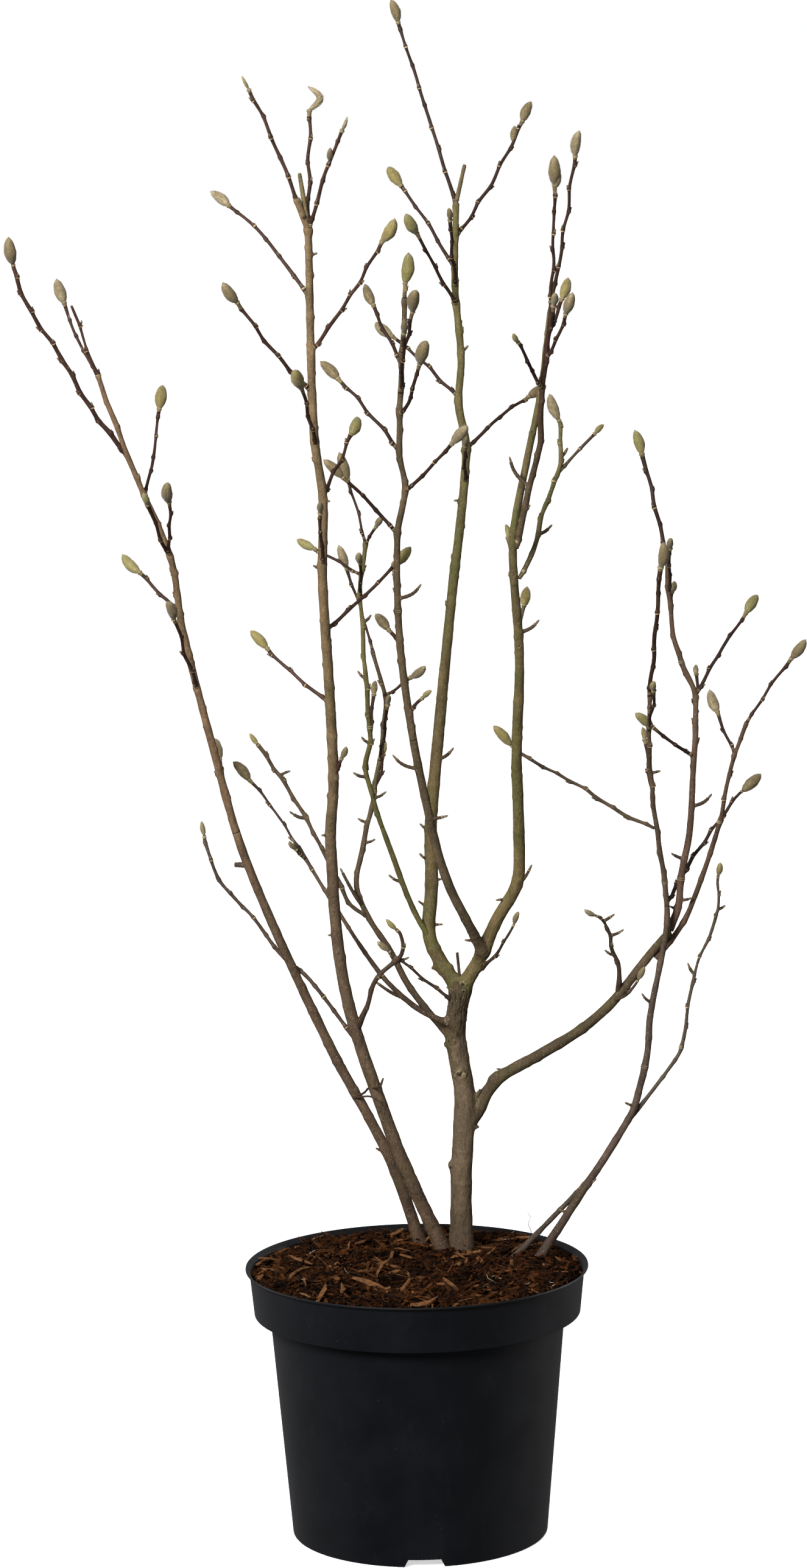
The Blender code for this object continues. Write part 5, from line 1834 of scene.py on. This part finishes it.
def pot_profile():
    """The pot's section as (radius, height), from the middle of its floor up, over the lip and down."""
    inner = [
        (0.0, FLOOR_TOP, 0), (FOOT_RADIUS - WALL, FLOOR_TOP, 2.0), (BODY_TOP_RADIUS - WALL, BAND_EDGE, 0.8),
        (BAND_FOOT_RADIUS - THIN_WALL, BAND_EDGE + 2.0, 1.0),
        (BAND_TOP_RADIUS - THIN_WALL, POT_HEIGHT - LIP_DEPTH - 0.6, 0.8),
        (RIM_RADIUS - 1.7, POT_HEIGHT - 0.9, 0.4),
    ]
    outer = [
        (RIM_RADIUS - 1.0, POT_HEIGHT, 0.3), (RIM_RADIUS - 0.2, POT_HEIGHT - 0.1, 0.3),
        (RIM_RADIUS, POT_HEIGHT - 1.8, 0.5), (RIM_RADIUS - 1.2, POT_HEIGHT - 2.4, 0.4),
        (BAND_TOP_RADIUS + 0.1, POT_HEIGHT - LIP_DEPTH, 0.4), (BAND_FOOT_RADIUS, BAND_EDGE, 0.5),
        (BODY_TOP_RADIUS + 0.2, BAND_EDGE - 2.0, 1.0), (FOOT_RADIUS, 0.0, 2.0),
        (FOOT_RADIUS - FOOT_WALL, 0.0, 0.5), (FOOT_RADIUS - FOOT_WALL, FLOOR_BOTTOM, 1.0),
        (PAD_RADIUS + PAD_SLOPE, FLOOR_BOTTOM, 2.0), (PAD_RADIUS, 0.0, 1.0), (0.0, 0.0, 0),
    ]
    return rounded(inner + outer)


def make_pot():
    """The pot, turned from its section and cut with its drainage notches."""
    profile = np.array(pot_profile())
    radii, heights = profile[1:-1, :1], profile[1:-1, 1:]
    angles = np.arange(POT_STEPS) * math.tau / POT_STEPS
    verts = stacked(radii * np.cos(angles), radii * np.sin(angles), np.repeat(heights, POT_STEPS, axis=1))
    ends = (0, 0, profile[0, 1]), (0, 0, profile[-1, 1])
    pot = Batch()
    pot.add(np.vstack([verts.reshape(-1, 3), ends]), *tube_faces(len(radii), POT_STEPS))
    shell = pot.piece("nursery_pot", pot_plastic(), "pot_plastic", "pot")
    blocks = [cut_notch(shell, index) for index in range(NOTCH_COUNT)]
    bpy.context.view_layer.update()
    cut = bpy.data.meshes.new_from_object(shell.evaluated_get(bpy.context.evaluated_depsgraph_get()))
    shell.modifiers.clear()
    shell.data = cut
    for block in blocks:
        bpy.data.objects.remove(block)
    shell.data.set_sharp_from_angle(angle=SHARP_ANGLE)
    return shell


def cut_notch(shell, index):
    """A tapered block that cuts one drainage notch through the foot of the wall."""
    foot, top = NOTCH_FOOT_WIDTH - NOTCH_TOP_WIDTH / 2, NOTCH_TOP_WIDTH / 2
    outline = [(-foot, -NOTCH_HEIGHT), (foot, -NOTCH_HEIGHT), (top, NOTCH_HEIGHT), (-top, NOTCH_HEIGHT)]
    near = -(FOOT_RADIUS + FOOT_WALL)
    far = -(FOOT_RADIUS - 2.4 * FOOT_WALL)
    verts = [(x * MM, y * MM, z * MM) for y in (near, far) for x, z in outline]
    faces = [(0, 1, 2, 3), (7, 6, 5, 4)] + [(i, i + 4, (i + 1) % 4 + 4, (i + 1) % 4) for i in range(4)]
    mesh = bpy.data.meshes.new(f"notch_{index}")
    mesh.from_pydata(verts, [], faces)
    block = linked(f"notch_{index}", mesh)
    block.matrix_world = Matrix.Rotation(math.tau * index / NOTCH_COUNT + NOTCH_TURN, 4, "Z")
    cut = shell.modifiers.new(block.name, "BOOLEAN")
    cut.operation = "DIFFERENCE"
    cut.solver = "EXACT"
    cut.object = block
    return block


def pot_plastic():
    """Thin black plastic, slightly dusty, with a faint grain."""
    made, tree, shader = material("pot_plastic", 0.45, 0.18, 0.03)
    dark, pale = (0.0022, 0.0026, 0.0042), (0.0042, 0.0048, 0.0066)
    base = ramp(tree, noise(tree, 14.0, 5.0), (0.35, dark), (0.7, pale))
    dust = ramp(tree, noise(tree, 60.0, 8.0, (1.0, 1.0, 0.5)), (0.58, 0.0), (0.85, 0.18))
    dusty = blend(tree, dust, base, (0.03, 0.028, 0.026))
    specks = node(tree, "ShaderNodeTexVoronoi", {"Scale": 70.0, "Randomness": 1.0})
    tree.links.new(place_in(tree, "Object"), specks.inputs["Vector"])
    dots = ramp(tree, specks.outputs["Distance"], (0.03, 0.2), (0.06, 0.0))
    tree.links.new(blend(tree, dots, dusty, (0.1, 0.08, 0.06)), shader.inputs["Base Color"])
    gloss = ramp(tree, noise(tree, 30.0, 6.0), (0.3, 0.42), (0.75, 0.58))
    tree.links.new(gloss, shader.inputs["Roughness"])
    bump(tree, shader, noise(tree, 700.0, 2.0), 0.0001)
    return made


# Stage

# The photograph's camera, as fitted: its place in metres, and its turns down and about its view
CAMERA_PLACE = (-0.0065, -4.5, 1.414)
CAMERA_PITCH = math.radians(-8.36)
CAMERA_ROLL = math.radians(-0.81)
LENS = 106.9
SENSOR = 36.0

FLOOR_RADIUS = 60.0
FLOOR_SIDES = 96

# (name, place, width, power) of the soft lights, in metres and watts
LIGHTS = (
    ("key_window", (-1.9, -3.3, 2.7), 1.7, 275.0),
    ("front_fill", (1.9, -3.6, 1.2), 1.8, 14.0),
    ("left_window", (-3.2, 1.2, 0.8), 1.6, 38.0),
    ("right_window", (3.2, 1.2, 0.8), 1.6, 75.0),
    ("back_window", (0.8, 3.4, 2.6), 2.4, 60.0),
)
LIGHT_AIM = Vector((0, 0, 0.75))

# The lights that only the pot gets
POT_LIGHTS = ("left_window", "right_window")
SKY_LIGHT = 0.23
GROUND_LIGHT = 0.11
FLOOR_LIGHT = 4.0
FLOOR_LIGHT_SPREAD = math.radians(70)


def make_floor():
    """A wide pale floor that is seen, but throws no light of its own back on the plant."""
    angles = np.arange(FLOOR_SIDES) * math.tau / FLOOR_SIDES
    rim = stacked(np.cos(angles), np.sin(angles), np.zeros(FLOOR_SIDES)) * FLOOR_RADIUS
    mesh = bpy.data.meshes.new("floor")
    mesh.from_pydata(rim.tolist(), [], [list(range(FLOOR_SIDES))])
    ground = linked("floor", mesh)
    pale, tree, shader = material("pale_floor", 0.9, 0.1)
    tone = ramp(tree, noise(tree, 1.5, 2.0), (0.3, (0.93, 0.93, 0.925)), (0.7, 0.95))
    tree.links.new(tone, shader.inputs["Base Color"])
    mesh.materials.append(pale)
    ground.visible_diffuse = False
    ground.visible_glossy = False
    return ground


def make_world():
    """A white studio, whose light on the plant is soft and comes more from above than from below."""
    world = bpy.data.worlds.new("studio")
    world.use_nodes = True
    tree = world.node_tree
    height = share_between(tree, height_in(tree, "Generated"), -1.0, 1.0)
    light = ramp(tree, height, (0.44, GROUND_LIGHT), (0.56, SKY_LIGHT))
    seen = node(tree, "ShaderNodeLightPath").outputs["Is Camera Ray"]
    tree.links.new(blend(tree, seen, light, (1.0, 1.0, 1.0)), tree.nodes["Background"].inputs["Color"])
    bpy.context.scene.world = world


def lit_only(holder, obj):
    """Keeps a light to one object."""
    group = bpy.data.collections.new(f"lit_by_{holder.name}")
    group.objects.link(obj)
    holder.light_linking.receiver_collection = group


def make_lights(ground, pot):
    """The soft lights, and a sun for the floor alone in which the plant casts no shadow."""
    for name, place, size, power in LIGHTS:
        lamp = bpy.data.lights.new(name, "AREA")
        lamp.shape = "DISK"
        lamp.size = size
        lamp.energy = power
        holder = linked(name, lamp)
        holder.location = place
        holder.visible_glossy = name != "back_window"
        holder.rotation_euler = (LIGHT_AIM - Vector(place)).to_track_quat("-Z", "Y").to_euler()
        if name in POT_LIGHTS:
            lit_only(holder, pot)
    overhead = bpy.data.lights.new("floor_light", "SUN")
    overhead.energy = FLOOR_LIGHT
    overhead.angle = FLOOR_LIGHT_SPREAD
    holder = linked("floor_light", overhead)
    lit_only(holder, ground)
    holder.light_linking.blocker_collection = holder.light_linking.receiver_collection


def make_camera():
    """The camera, matched to the photograph."""
    lens = bpy.data.cameras.new("camera")
    lens.lens = LENS
    lens.sensor_width = SENSOR
    lens.clip_start, lens.clip_end = 0.1, 300.0
    camera = linked("camera", lens)
    turn = Matrix.Rotation(math.radians(90) + CAMERA_PITCH, 4, "X") @ Matrix.Rotation(CAMERA_ROLL, 4, "Z")
    camera.matrix_world = Matrix.Translation(CAMERA_PLACE) @ turn
    bpy.context.scene.camera = camera
    bpy.context.scene.view_settings.view_transform = "Standard"


buds = grow_limbs(plan_limbs())
make_trunk()
make_buds(buds)
growth_rings.piece("growth_rings", mottled("ring_skin", (0.3, 0.245, 0.13), 260.0, 0.4), "twigs_and_buds")
collars.piece("spur_collars", mottled("collar_skin", (0.13, 0.095, 0.055), 300.0, 0.4), "twigs_and_buds")
leaf_scars.piece("leaf_scars", mottled("scar_skin", (0.5, 0.35, 0.18), 400.0, 0.35), "twigs_and_buds")
pores.piece("pale_pores", mottled("pore_skin", (0.44, 0.37, 0.27), 400.0, 0.35), "bark")
calluses.piece("callus_rings", mottled("callus_wood", (0.3, 0.235, 0.13), 500.0, 0.5), "bark")
# Dark patches of painted shade in the hollows of knots and wounds.
hollow_shading.piece("knot_hollows", mottled("painted_hollow_shade", (0.02, 0.013, 0.009), 400.0, 0.4), "bark")
side_buds.piece("side_buds", mottled("side_bud_skin", (0.17, 0.13, 0.078), 350.0, 0.5, 0.6), "twigs_and_buds")
spur_wood.piece("spurs", bark("spur_bark", (0.066, 0.046, 0.031), 0.15), "twigs_and_buds")
stub_wood.piece("dead_stubs", bark("stub_bark", (0.17, 0.135, 0.07), 0.2), "twigs_and_buds")
young_tips.piece("young_tips", bark("young_tip_bark", TIP_COLOUR, 0.15, 0.1, 0.55), "twigs_and_buds")
make_mulch()
pot = make_pot()
make_world()
make_lights(make_floor(), pot)
make_camera()
